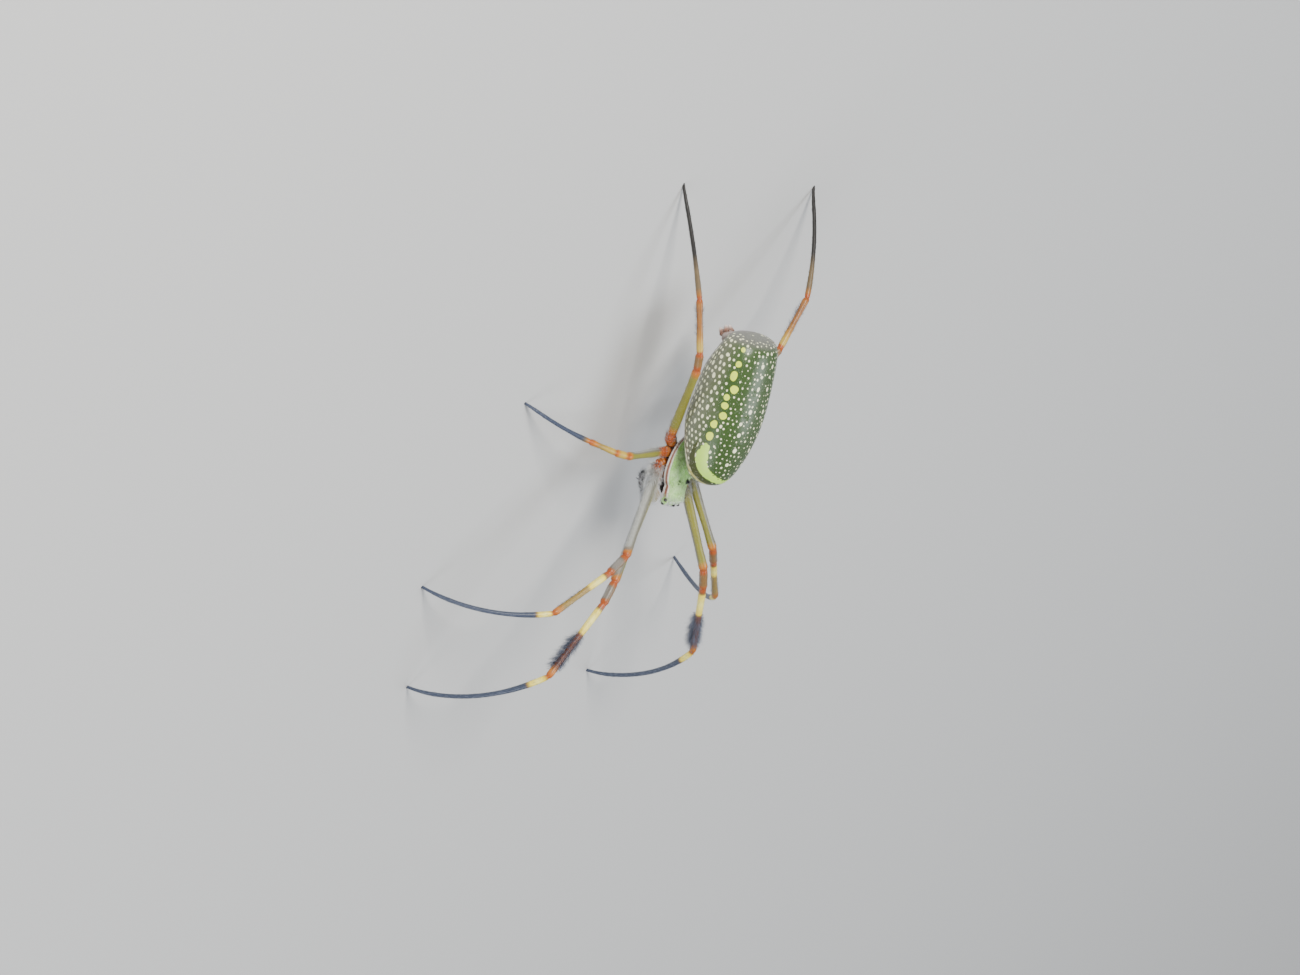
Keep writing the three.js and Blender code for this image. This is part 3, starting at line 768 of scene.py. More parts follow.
def legHairMaterial(kind):
    joints = legJoints(kind)
    start, knee, tibia, ankle, tarsus, tip = [joint / joints[-1] for joint in joints]
    # The front feet's hairs are pale blue-grey: grey hair, made paler as a painted sheen
    foot = (0.07, 0.07, 0.07) if kind == 4 else (0.38, 0.44, 0.56)   # the hind feet are dark
    stops = [(start * 0.5, hues["silver"]), (mix(start, knee, 0.3), (0.66, 0.62, 0.42)),
             (mix(start, knee, 0.8), (0.46, 0.40, 0.22)), (mix(tibia, ankle, 0.38), (0.35, 0.28, 0.18)),
             (mix(tibia, ankle, 0.45), (0.03, 0.03, 0.045)), (ankle, (0.05, 0.05, 0.06)),
             (mix(ankle, tip, 0.25), foot), (tip, foot)]

    def paint(tree):
        plain = colorRamp(tree, stops, attribute(tree, "along"))
        # Hairs on the silver face are whitened: silver hair whose whiteness is partly a painted sunlit
        # highlight
        return blendColor(tree, plain, (0.86, 0.88, 0.90), attribute(tree, "silverSunlit"))
    return hairMaterial(f"legHair{kind}", paint, 0.35)


coatMake = {
    # tufts per square mm, length in mm and lift
    "fine": (9, 0.34, 0.42),
    "foot": (20, 0.30, 0.30),
    # the dense white hairs on the silver face: real silver hair, its whiteness partly a painted sunlit
    # highlight
    "silverSunlit": (48, 0.38, 0.28),
    "baseDown": {1: (84, 0.8, 0.55), 2: (84, 0.8, 0.55), 3: (36, 0.5, 0.5), 4: (30, 0.5, 0.5)},
    # stretch of the tibia, as shares, then tufts per square mm, length and lift of each kind of leg's brush
    "brush": {1: (0.42, 0.92, 66, 1.35, 0.68), 2: (0.42, 0.95, 36, 0.42, 0.55),
              4: (0.3, 0.92, 26, 0.7, 0.6)},
}
# The face of a femur that carries silver hairs and a painted sunlit sheen, with painted shade beside it, is
# turned outward and down: its middle and half width, in degrees from the top
silverSunlitTurn = {1: 136, 2: 136, 3: 118, 4: 160}
silverSunlitWidth = {1: 76, 2: 76, 3: 46, 4: 40}


def underside(around):   # 0 along the top of a limb, 1 along its underside
    return 0.5 - 0.5 * math.cos((around - 0.5) * math.tau)


def makeLeg(name, material, hair, brushHair):
    pose = legPoses[name]
    kind = pose["kind"]
    path, place = legPath(pose), legPlace(pose)
    joints = legJoints(kind)
    start, knee, tibia, ankle, tarsus, tip = joints
    total = tip + legMake["footRound"]
    shape = bentTube(path, legDistances(kind), legRadius(kind), legMake["sides"], total, place)
    # Each vertex gets a share: high for silver hairs and a painted sunlit sheen on the face turned outward
    # and down, lower for painted shade beside that face
    silverSunlit = shape.verts.layers.float.new("silverSunlit")
    along, around = [shape.verts.layers.float[key] for key in ("along", "around")]
    for vert in shape.verts:
        s = vert[along] * total
        turn = (vert[around] - 0.5) * 360 * pose["side"]
        off = abs((turn - silverSunlitTurn[kind] + 180) % 360 - 180)
        face = 1 - softStep(silverSunlitWidth[kind] * 0.6, silverSunlitWidth[kind] * 1.1, off)
        # painted shade: a weaker share, which is painted darker grey, in a band above the silver, sunlit
        # face
        if kind < 3:   # greyer above the silver face too
            face = max(face, 0.42 * (1 - softStep(100, 150, off)))
        reach = softStep(start - 0.2, start + 1.0, s) * (1 - softStep(knee - 1.6, knee - 0.3, s))
        onPatella = 0.55 * softStep(knee + 0.5, knee + 1, s) * (1 - softStep(tibia - 0.9, tibia - 0.4, s))
        vert[silverSunlit] = face * (max(reach, onPatella) if kind < 3 else 0.8 * reach)
    nodes = [f"{part}_{name}" for part in ("femur", "tibia", "metatarsus")]
    leg = newPiece(f"leg_{name}", shape, material, nodes)
    silverSunlitShares = leg.data.attributes["silverSunlit"].data
    turn = place.to_3x3()

    def fine(along, around, vert):
        s = along * total
        white = silverSunlitShares[vert.index].value ** 2
        down = 1 - softStep(start + 0.8, start + 3.5, s)
        plain = coatMake["foot" if s > ankle + 2 and kind != 4 else "fine"]
        sunlitCoat, base = coatMake["silverSunlit"], coatMake["baseDown"][kind]
        density, size, lift = [mix(mix(a, b, white), c, down) for a, b, c in zip(plain, sunlitCoat, base)]
        size *= mix(1, 0.8 + 0.6 * underside(around), down)
        return (0 if s > tip - 0.3 else density), size, lift, turn @ path.way(s)

    growCoat(f"coat_leg_{name}", leg, fine, tufts["seta"], hair, 0.2, kind)
    if kind in coatMake["brush"]:
        low, high, most, size, lift = coatMake["brush"][kind]

        def brush(along, around, vert):
            share = (along * total - tibia) / (ankle - tibia)
            edge = softStep(low - 0.06, low + 0.08, share) * (1 - softStep(high - 0.12, high + 0.03, share))
            long = size * mix(0.55, 1, edge) * mix(0.6, 1, underside(around))
            return most * edge, long, lift, turn @ path.way(along * total)

        growCoat(f"brush_leg_{name}", leg, brush, tufts["brush"], brushHair, 0.22, kind + 4)
    return path, place


clawMake = {"long": 0.30, "thick": 0.045, "turns": (-24, 24, 0), "sizes": (1, 1, 0.6),
            "foot": 0.16, "drop": 0.05, "back": 0.12}   # the root: above the floor, back from the tip


def makeClaws(name, material):   # three small hooks at the tip of a foot, just off the floor
    pose = legPoses[name]
    path, place = legRuns[name]
    tip = legJoints(pose["kind"])[-1]
    x, z = path.at(tip - clawMake["back"])[:2]
    foot = place @ Vector((x, 0, z))
    heading = place.to_3x3() @ Vector((1, 0, 0))
    whole = bmesh.new()
    for turn, size in zip(clawMake["turns"], clawMake["sizes"]):
        base = Matrix.Translation((foot.x, foot.y, clawMake["foot"] - clawMake["drop"] * size))
        yaw = math.atan2(heading.y, heading.x) + math.radians(turn)
        long = clawMake["long"] * size
        hook = bentTube(LimbPath([(0, 20), (long, -75)], 0.01), [i * long / 8 for i in range(9)],
                        lambda s, angle: (clawMake["thick"] * (1 - s / long) ** 0.7
                                          * min(1, 0.4 + s / long * 4)),
                        8, long, base @ Matrix.Rotation(yaw, 4, "Z"))
        mesh = bpy.data.meshes.new("hook")
        hook.to_mesh(mesh)
        hook.free()
        whole.from_mesh(mesh)
        bpy.data.meshes.remove(mesh)
    newPiece(f"claws_{name}", whole, material)


# Hips: the coxae, ringed orange and dark red
hipMake = {
    "length": 1.8,
    "thick": 1.3,
    "yawShare": 0.55,
    "reach": 0.35,        # how far it runs over the trochanter
    "shape": [(0, 0.3), (0.06, 0.62), (0.4, 0.95), (0.56, 1.02), (0.64, 0.86), (0.72, 0.99), (0.8, 0.86),
              (0.9, 0.95), (0.97, 0.8), (1, 0.4)],
}


def makeHip(name, material, down):
    pose = legPoses[name]
    place = Matrix.Translation(legPlace(pose).translation)
    place = place @ limbTurn(pose["side"], pose["yaw"] * hipMake["yawShare"])
    place = place @ Matrix.Translation((-hipMake["length"], 0, 0))
    end = hipMake["length"] + hipMake["reach"]
    path = LimbPath([(0, 0), (end, 0)])

    def radius(s, angle):
        return hipMake["thick"] / 2 * between(hipMake["shape"], s / end)

    shape = bentTube(path, [i * end / 44 for i in range(45)], radius, 20, end, place)
    hip = newPiece(f"hip_{name}", shape, material, [f"coxa_{name}"])
    way = place.to_3x3() @ Vector((1, 0, 0))

    def rule(along, around, vert):
        return 22 * (0.35 + 0.65 * underside(around)), 0.42, 0.5, way

    growCoat(f"down_hip_{name}", hip, rule, tufts["seta"], down, 0.25, 3)


def hipColor(tree):
    stops = [(0.0, hues["brown"]), (0.45, hues["redOrange"]), (0.56, hues["orange"]),
             (0.64, (0.22, 0.04, 0.02)), (0.72, hues["orange"]), (0.8, (0.22, 0.04, 0.02)),
             (0.9, hues["redOrange"])]
    return colorRamp(tree, stops, attribute(tree, "along"))


hipShell = newMaterial("hipShell", hipColor, (0.5, 0.2, 0.07, 0.4, 0.4))
whiteDown = hairMaterial("whiteDown", hues["silver"], 0.25)
brushHair = hairMaterial("brushHair", (0.24, 0.27, 0.37), 0.7, 0.45)
clawHorn = newMaterial("clawHorn", hues["black"], (0.2, 0.2, 0.05, 0.2, 0.3))
legShells = {kind: legMaterial(kind) for kind in legSizes}
legHairs = {kind: legHairMaterial(kind) for kind in legSizes}
legRuns = {}
for name, pose in legPoses.items():
    legRuns[name] = makeLeg(name, legShells[pose["kind"]], legHairs[pose["kind"]], brushHair)
    makeHip(name, hipShell, whiteDown)
    makeClaws(name, clawHorn)
print("stage: legs and hips")


# Hind body

abdomen = {
    "length": 19.1,
    "halfWidth": (4.9, [(-1, 0.8), (0, 1), (1, 0.87)]),
    "above": (4.35, [(-1, 0.88), (-0.1, 1), (1, 0.82)]),
    "below": (4.35, [(-1, 0.56), (-0.2, 1), (0.35, 0.97), (1, 0.63)]),
    "blunt": (3.3, 6),
    "sides": 330,
    "rings": 282,
    # Each spot is its place along the body (-1 front, 1 rear), degrees from the back's middle line,
    # radius in mm and how much longer it is than wide. Both sides carry it.
    "yellowSpots": [(0.88, 60, 0.30, 1), (0.70, 58.5, 0.38, 1), (0.54, 59.5, 0.42, 1.5),
                    (0.38, 52, 0.50, 1), (0.26, 59, 0.38, 1), (0.15, 58, 0.44, 1), (0.02, 56, 0.46, 1),
                    (-0.12, 65, 0.42, 1.2), (-0.29, 66, 0.43, 1.35)],
    "whiteSpots": [(0.89, 6, 0.2, 1), (0.73, 13, 0.22, 1.3), (0.60, 10, 0.2, 1), (0.44, 11, 0.22, 1.3),
                   (0.30, 22, 0.2, 0.6), (0.14, 15, 0.25, 1.2), (-0.03, 25, 0.24, 1),
                   (-0.18, 22, 0.24, 1.1), (-0.40, 18.5, 0.27, 1.1), (-0.61, 21, 0.25, 1),
                   (0.70, 97, 0.25, 1), (0.76, 85, 0.24, 1), (0.45, 95, 0.25, 1.3),
                   (0.22, 113, 0.25, 1.3), (-0.14, 116, 0.22, 1.6), (-0.19, 99, 0.22, 1.6),
                   (0.05, 84, 0.2, 1.8), (0.58, 110, 0.24, 1.3)],
    # Dark green bites out of the crescent's inner edge
    "scallops": [(-0.70, 51.5, 0.14, 1), (-0.735, 47, 0.13, 1), (-0.757, 41, 0.17, 1),
                 (-0.795, 37, 0.09, 1), (-0.782, 33, 0.15, 1), (-0.803, 25.5, 0.17, 1),
                 (-0.842, 21, 0.09, 1), (-0.822, 16.5, 0.14, 1), (-0.845, 8, 0.15, 1)],
    # Small dots in staggered rows: degrees from the back over which they run, their distance apart,
    # least and most radius, most lengthening, and how far one may stray from its place in the row.
    "dots": [{"turns": (3, 52), "gap": 0.68, "radius": (0.07, 0.14), "longer": 1.3, "stray": 0.15},
             {"turns": (54, 76), "gap": 0.72, "radius": (0.10, 0.17), "longer": 1.5, "stray": 0.12},
             {"turns": (78, 134), "gap": 0.76, "radius": (0.13, 0.20), "longer": 1.8, "stray": 0.10},
             {"turns": (148, 178), "gap": 1.9, "radius": (0.1, 0.4), "longer": 1.4, "stray": 0.6}],
    # Bands, as places along, degrees and half width: the pale crescent over the shoulder, the olive band
    # in front of it, and the cream line along the flank that closes round the front.
    "crescent": [(-0.435, 66, 0.36), (-0.50, 69, 0.56), (-0.57, 70, 0.68), (-0.65, 70, 0.76),
                 (-0.73, 65, 0.74), (-0.79, 55, 0.68), (-0.83, 40, 0.60), (-0.87, 22, 0.50),
                 (-0.895, 0, 0.46)],
    "oliveBand": [(-0.42, 84, 0.10), (-0.52, 88, 0.26), (-0.63, 90, 0.42), (-0.75, 88, 0.52),
                  (-0.83, 80, 0.52), (-0.89, 66, 0.46), (-0.935, 46, 0.40), (-0.965, 24, 0.36),
                  (-0.975, 0, 0.34)],
    "creamLine": [(0.45, 137, 0.06), (0.1, 139, 0.18), (-0.35, 138, 0.26), (-0.59, 133, 0.30),
                  (-0.70, 120, 0.30), (-0.77, 110, 0.29), (-0.867, 97, 0.27), (-0.927, 76, 0.23),
                  (-0.97, 50, 0.2), (-0.99, 0, 0.17)],
    "dimples": [(-0.36, 17, 0.35, 0.10), (0.04, 19, 0.4, 0.11), (0.38, 17, 0.35, 0.09)],
}


def scatterDots(form, clearOf):
    apart, recent = 0.06, 260   # the least gap in mm, and how many of the latest dots could be near
    dots = []
    for kind in abdomen["dots"]:
        low, high = kind["turns"]
        rows = round(evenPlaces(form, 1)[1] / kind["gap"])
        for i, t in enumerate(evenPlaces(form, rows)[0][1:-1]):
            half = form["halfWidth"](t)
            step = math.degrees(kind["gap"] / half)
            for side in (-1, 1):
                turn = low + step * (0.5 if i % 2 else 0.1)
                while turn < high:
                    stray = [random.uniform(-kind["stray"], kind["stray"]) for _ in range(2)]
                    angle = math.radians(side * (turn + math.degrees(stray[0] / half)))
                    place = formPoint(form, clamp(t + stray[1] / form["length"] * 2, -1, 1), angle)
                    radius = random.uniform(*kind["radius"])
                    longer = random.uniform(1, kind["longer"]) if abs(t) < 0.85 else 1
                    if all((place - centre).length > size * max(1, stretch) + radius * longer + apart
                           for centre, size, stretch in clearOf + dots[-recent:]):
                        dots.append((place, radius, longer))
                    turn += step
    return dots


# How far a point is inside the nearest of some spots, in mm; negative outside
outside = -0.3
spotReach = 0.85   # the longest half of a spot, and a little over


def insideSpots(point, spots, tree):
    depth = outside
    for _, number, _ in tree.find_range(point, spotReach):
        centre, radius, longer = spots[number]
        off = point - centre
        off.y /= longer
        depth = max(depth, radius - off.length)
    return depth


def insideBand(point, band):
    depth = outside
    for (a, wide), (b, wider) in zip(band, band[1:]):
        run = b - a
        share = clamp((point - a).dot(run) / run.length_squared)
        depth = max(depth, mix(wide, wider, share) - (point - a - run * share).length)
    return depth


def spotTree(spots):
    tree = kdtree.KDTree(len(spots))
    for number, spot in enumerate(spots):
        tree.insert(spot[0], number)
    tree.balance()
    return tree


def makeAbdomen(material, hair):
    form = bodyForm(abdomen)
    shape = roundedBody(form, abdomen["sides"], abdomen["rings"])

    def bothSides(rows):
        return [(formPoint(form, t, math.radians(side * turn)), *rest)
                for t, turn, *rest in rows for side in (-1, 1)]

    def bothBands(band):
        return [[(formPoint(form, t, math.radians(side * angle)), half) for t, angle, half in band]
                for side in (-1, 1)]

    spots = {key: bothSides(abdomen[f"{key}Spots"]) for key in ("yellow", "white")}
    spots["white"] += scatterDots(form, spots["yellow"] + spots["white"])
    spots["scallop"], dimples = bothSides(abdomen["scallops"]), bothSides(abdomen["dimples"])
    trees = {key: spotTree(group) for key, group in spots.items()}
    bands = {key: bothBands(abdomen[key]) for key in ("crescent", "oliveBand", "creamLine")}
    layers = {key: shape.verts.layers.float.new(key) for key in (*spots, *bands, "vent")}
    shape.normal_update()
    tail = Vector((0, abdomen["length"] / 2 - 1, -3.4))
    for vert in shape.verts:
        point = vert.co.copy()
        t = point.y / form["length"] * 2
        waver = noise.noise_vector(point * 1.1) * 0.14 + noise.noise_vector(point * 2.3) * 0.13
        near = {"yellow": point + waver * 0.4, "white": point + noise.noise_vector(point * 2.4) * 0.05,
                "scallop": point + waver * 0.5}
        for key, group in spots.items():
            vert[layers[key]] = insideSpots(near[key], group, trees[key])
        for key, pair in bands.items():
            astray = waver * (1 if key == "crescent" else 0.5)
            depths = [insideBand(point + astray, band) for band in pair] if t < 0.5 else [outside]
            vert[layers[key]] = max(depths)
        vert[layers["vent"]] = 1 - softStep(1.3, 3.2, (point - tail).length)
        sink = sum(depth * hump((point - centre).length, radius) for centre, radius, depth in dimples)
        vert.co = point - vert.normal * sink
    piece = newPiece("abdomenSkin", inMetres(shape, hindPlace), material, ["abdomen"])
    way = hindPlace.to_3x3() @ Vector((0, 1, -0.35))
    growCoat("abdomenHair", piece, evenCoat(8, 0.28, 0.28, way), tufts["seta"], hair, 0.15, 11)


def abdomenColor(tree):
    along = attribute(tree, "along")
    turn = times(tree, attribute(tree, "fromTop"), 0.5)
    atRear = times(tree, remap(tree, along, 0.975, 0.999), 0.8)
    turn = calc(tree, "ADD", turn, times(tree, calc(tree, "SUBTRACT", 0.27, turn), atRear))
    turn = swayed(tree, turn, grain(tree, 420.0, 3.0), 0.12)
    base = colorRamp(tree, [
        (0.0, (0.055, 0.092, 0.032)), (0.08, (0.042, 0.082, 0.018)), (0.17, (0.045, 0.093, 0.018)),
        (0.225, (0.100, 0.130, 0.060)), (0.27, (0.145, 0.165, 0.100)), (0.36, (0.185, 0.190, 0.130)),
        (0.40, (0.17, 0.145, 0.085)), (0.5, (0.085, 0.062, 0.035))], turn)
    base = blendColor(tree, base, (0.19, 0.185, 0.165), times(tree, remap(tree, along, 0.945, 0.99), 0.75))
    base = blendColor(tree, base, (0.30, 0.25, 0.27), times(tree, attribute(tree, "vent"), 0.8))

    def covered(color, key, paint, soft=0.025):
        return blendColor(tree, color, paint, remap(tree, attribute(tree, key), -soft, soft))

    below = remap(tree, turn, 0.37, 0.46)
    dotColor = blendColor(tree, (0.97, 0.98, 0.66), (0.55, 0.45, 0.14), below)
    color = covered(base, "white", dotColor)
    color = covered(color, "oliveBand", (0.058, 0.070, 0.014), 0.05)
    cream = blendColor(tree, (0.94, 0.95, 0.76), (0.62, 0.56, 0.16), remap(tree, along, 0.16, 0.06))
    color = covered(color, "creamLine", cream, 0.06)
    color = covered(color, "crescent", (0.60, 0.93, 0.12))
    color = covered(color, "scallop", (0.06, 0.12, 0.02), 0.05)
    return covered(color, "yellow", (0.80, 0.95, 0.07))


abdomenSkin = newMaterial("abdomenSkin", abdomenColor, (2.2, 0.12, 0.16, 0.4, 0.33))
paleHair = hairMaterial("paleHair", (0.70, 0.72, 0.66), 0.3)
makeAbdomen(abdomenSkin, paleHair)

spinnerets = {
    "forward": 1.15, "level": -3.75, "inside": 1.15, "tilt": 50,
    "splay": 12, "spread": 30,   # how far the cones turn outward, and up or down for each mm of height
    "length": 2.6, "halfWidth": (1.08, even), "above": (0.86, even), "below": (0.86, even), "blunt": (3, 3),
    # each pair of cones: sideways, height and forward offsets of its foot, length and radius
    "pairs": [(0.45, -0.36, -0.34, 1.0, 0.43), (0.43, 0.38, -0.38, 0.92, 0.41),
              (0.15, 0.02, -0.34, 0.7, 0.2)],
}


def makeSpinnerets(material, hair):
    base = Matrix.Translation((0, abdomen["length"] / 2 - spinnerets["forward"], spinnerets["level"]))
    base = base @ turnBy(-spinnerets["tilt"], "X")
    shape = roundedBody(bodyForm(spinnerets), 48, 30)
    along = shape.verts.layers.float["along"]
    for vert in shape.verts:   # shallow folds round the mound
        fold = 1 - 0.035 * math.cos(vert.co.y * 19) - 0.16 * softStep(0.2, 1.3, vert.co.y)
        vert.co.x *= fold
        vert.co.z *= fold
        vert[along] *= 0.5
    inside = base @ Matrix.Translation((0, -spinnerets["inside"], 0))
    bmesh.ops.transform(shape, matrix=inside, verts=shape.verts)
    for x, up, forward, length, radius in spinnerets["pairs"]:
        for side in (-1, 1):
            known = set(shape.verts)
            tip = bmesh.ops.create_cone(shape, cap_ends=True, segments=18, radius1=radius,
                                        radius2=radius * 0.36, depth=length)["verts"]
            rims = list({edge for vert in tip for face in vert.link_faces if len(face.verts) > 4
                         for edge in face.edges})
            bmesh.ops.bevel(shape, geom=rims, offset=radius * 0.24, offset_type="OFFSET", segments=3,
                            affect="EDGES", profile=0.5, material=-1)
            tip = [vert for vert in shape.verts if vert not in known]
            for vert in tip:
                vert[along] = 0.5 + 0.5 * clamp(vert.co.z / length + 0.5)
            out = turnBy(-90, "X") @ turnBy(side * -spinnerets["splay"], "Y")
            out = out @ turnBy(up * spinnerets["spread"], "X")
            unwrapAside(shape, tip, (0.965, 0.1 + 0.25 * (x > 0.3) + 0.25 * (up > 0.3)), 0.04)
            way = base @ Matrix.Translation((side * x, 0.62 + forward, up)) @ out
            bmesh.ops.transform(shape, matrix=way, verts=tip)
    piece = newPiece("spinneretSkin", inMetres(shape, hindPlace), material, ["spinnerets"])
    out = (hindPlace @ base).to_3x3() @ Vector((0, 1, 0))

    def rule(along, around, vert):
        return 40 * softStep(0.42, 0.6, along), 0.24, 0.3, out

    growCoat("spinneretHair", piece, rule, tufts["seta"], hair, 0.2, 61)


def spinneretColor(tree):
    return colorRamp(tree, [
        (0.0, (0.16, 0.14, 0.12)), (0.25, (0.20, 0.17, 0.15)), (0.40, (0.40, 0.33, 0.31)),
        (0.5, (0.30, 0.18, 0.14)), (0.52, (0.13, 0.055, 0.035)), (0.70, (0.34, 0.17, 0.12)),
        (0.88, (0.70, 0.56, 0.50)), (1.0, (0.92, 0.86, 0.82))], attribute(tree, "along"))


spinneretSkin = newMaterial("spinneretSkin", spinneretColor, (0.5, 0.4, 0.08, 0.5, 0.5))
makeSpinnerets(spinneretSkin, paleHair)
print("stage: hind body")


# Front body

carapace = {
    "front": 5.3, "back": 3.8, "width": 6.8, "headWidth": 4.3, "under": 0.4,
    "ridge": [(-1, 1.3), (-0.8, 1.5), (-0.5, 1.22), (-0.2, 0.98), (0.3, 0.9), (0.7, 0.62), (1, 0.4)],
    "knob": (1.92, -4.58, 0.48), "knobRadius": 0.44,
    "horn": (0.9, -2.0), "hornRadius": 0.2, "hornHeight": 0.5,
    "fovea": (0.0, 1.25),
    # each groove's inner and outer end, and its depth
    "grooves": [((0.3, 0.7), (2.0, -2.3), 0.13), ((0.45, 1.1), (2.7, -0.5), 0.06),
                ((0.5, 1.3), (2.9, 1.0), 0.06), ((0.4, 1.6), (2.1, 2.6), 0.06)],
}
eyes = {
    "radius": 0.21,
    "places": {"front_median": (0.42, -5.17, 0.52), "back_median": (0.5, -4.98, 1.12),
               "front_lateral": (2.16, -4.86, 0.48), "back_lateral": (2.14, -4.34, 0.72)},
    "gaze": {"front_median": (0.15, -1, 0.1), "back_median": (0.3, -0.5, 0.9)},
    "socket": 0.3,
    "bared": 0.04,        # the skin round a middle eye stands this far ahead of its centre
}


def carapaceForm():
    def halfWidth(t):
        thorax = carapace["width"] / 2 * roundEnd((t - 0.22) / 0.78, 2.2)
        head = carapace["headWidth"] / 2 * roundEnd((t - 0.1) / 1.1, 4.5)
        return max(thorax, head if t < 0.6 else 0, 0.02)
    return {"length": carapace["front"] + carapace["back"], "square": 2.2, "halfWidth": halfWidth,
            "above": lambda t: between(carapace["ridge"], t) * roundEnd(t, 6),
            "below": lambda t: carapace["under"]}


def toSegment(point, a, b):   # distance in the plane from a point to the line between a and b
    a, b = Vector(a), Vector(b)
    share = clamp((point - a).dot(b - a) / (b - a).length_squared)
    return (point - a - (b - a) * share).length


def makeCarapace(material, hair):
    shape = roundedBody(carapaceForm(), 200, 150)
    bmesh.ops.translate(shape, vec=(0, (carapace["back"] - carapace["front"]) / 2, 0), verts=shape.verts)
    dark = shape.verts.layers.float.new("dark")
    sockets = []
    for name, place in eyes["places"].items():
        for side in (-1, 1):
            gaze = Vector(eyes["gaze"].get(name, (0, 0, 0)))
            gaze.x *= side
            sockets.append((Vector((side * place[0], *place[1:])), gaze.normalized()))
    for vert in shape.verts:
        point = vert.co.copy()
        flat = Vector((abs(point.x), point.y))
        top = softStep(0.0, 0.45, point.z)
        lower = sum(depth * hump(toSegment(flat, a, b), 0.3) for a, b, depth in carapace["grooves"])
        fovea = hump((flat - Vector(carapace["fovea"])).length, 0.42)
        fromHorn = (flat - Vector(carapace["horn"])).length
        horn = carapace["hornHeight"] * hump(fromHorn, carapace["hornRadius"])
        point.z += top * (horn - lower - 0.2 * fovea)
        for eye, gaze in sockets:
            off = point - eye
            ahead = off.dot(gaze)
            aside = (off - gaze * ahead).length
            if gaze.length > 0.5 and ahead > 0 and aside < 0.6:
                sunk = 1 - softStep(eyes["radius"], eyes["socket"] + 0.06, aside)
                point -= gaze * (ahead - eyes["bared"]) * sunk
        nearEye = max(hump((point - eye).length, 0.3) for eye, gaze in sockets)
        smudge = 0.5 * softStep(0.42, 0.5, noise.noise(point * 4.5))
        hornTip = 1 - softStep(0.24, 0.38, fromHorn + 0.1 * noise.noise(point * 5))
        if point.x < 0:   # this horn is paler: only speckled
            hornTip *= softStep(-0.12, 0.12, noise.noise(point * 7))
        pit = 0.8 * softStep(0.55, 0.9, fovea)
        vert[dark] = clamp(max(softStep(0.25, 0.6, nearEye), hornTip, pit, smudge))
        vert.co = point
    bmesh.ops.smooth_vert(shape, verts=shape.verts, factor=0.4, use_axis_x=True, use_axis_y=True,
                          use_axis_z=True)
    along, fromTop = [shape.verts.layers.float[key] for key in ("along", "fromTop")]
    for side in (-1, 1):   # the knobs that carry the outer eyes
        knob = Vector((side * carapace["knob"][0], *carapace["knob"][1:]))
        ball = bmesh.ops.create_uvsphere(shape, u_segments=28, v_segments=20, radius=carapace["knobRadius"])
        ball = ball["verts"]
        for vert in ball:
            vert.co.y *= 1.12
            vert.co += knob
            vert[along], vert[fromTop] = 0.1, 0.25
            nearEye = max(hump((vert.co - eye).length, 0.27) for eye, gaze in sockets)
            vert[dark] = softStep(0.3, 0.6, nearEye)
        unwrapAside(shape, ball, (0.965, 0.1 if side < 0 else 0.5), 0.05)
    piece = newPiece("carapaceShell", inMetres(shape, frontPlace), material, ["carapace"])
    turn = frontPlace.to_3x3()

    def rule(along, around, vert):
        local = frontPlace.inverted() @ (vert.co / mm)
        if local.z < -0.25:
            return 0, 0.3, 0.2, turn @ Vector((0, 1, 0))
        bare = max(hump((local - eye).length, 0.36) for eye, gaze in sockets)
        way = Vector((local.x * 0.1, 1, 0)) if local.y > -3.5 else Vector((local.x * 0.25, -0.6, 0.3))
        rough = 1 if local.y < -3.8 else 0
        return 78 * (1 - clamp(bare * 1.3)), 0.3 + 0.05 * rough, 0.10 + 0.12 * rough, turn @ way

    growCoat("carapaceHair", piece, rule, tufts["down"], hair, 0.16, 21)


# The margin of the carapace: a thin pale line, then a reddish brown strip, then a pale hem
def marginOver(tree, color, pale, ruddy):
    stops = [(0.0, (0, 0, 0)), (0.33, (0, 0, 0)), (0.35, (1, 0, 0)), (0.37, (1, 0, 0)), (0.39, (0, 1, 0)),
             (0.44, (0, 1, 0)), (0.465, (1, 0, 0)), (1.0, (1, 0, 0))]
    parts = addNode(tree, "ShaderNodeSeparateColor", {0: colorRamp(tree, stops, attribute(tree, "fromTop"))})
    behindFace = remap(tree, attribute(tree, "along"), 0.08, 0.2)
    color = blendColor(tree, color, pale, parts.outputs[0])
    return blendColor(tree, color, ruddy, times(tree, parts.outputs[1], behindFace))


def carapaceColor(tree):
    cloud = remap(tree, grain(tree, 500.0, 4.0), 0.35, 0.65)
    base = blendColor(tree, (0.30, 0.60, 0.13), (0.44, 0.66, 0.27), cloud)
    base = marginOver(tree, base, (0.75, 0.70, 0.66), (0.24, 0.07, 0.05))
    return blendColor(tree, base, (0.02, 0.02, 0.02), attribute(tree, "dark"))


carapaceShell = newMaterial("carapaceShell", carapaceColor, (0.8, 0.2, 0.1, 0.5, 0.45))


def carapaceHairColor(tree):
    tone = remap(tree, attribute(tree, "tone"), 0.2, 0.9)
    color = blendColor(tree, (0.55, 0.94, 0.31), (0.82, 0.98, 0.66), tone)
    color = blendColor(tree, color, (0.90, 0.92, 0.90), remap(tree, attribute(tree, "along"), 0.2, 0.05))
    color = marginOver(tree, color, (0.90, 0.88, 0.86), (0.42, 0.20, 0.16))
    return blendColor(tree, color, (0.04, 0.04, 0.04), attribute(tree, "dark"))


silverHair = hairMaterial("silverHair", carapaceHairColor, 0.2)
makeCarapace(carapaceShell, silverHair)


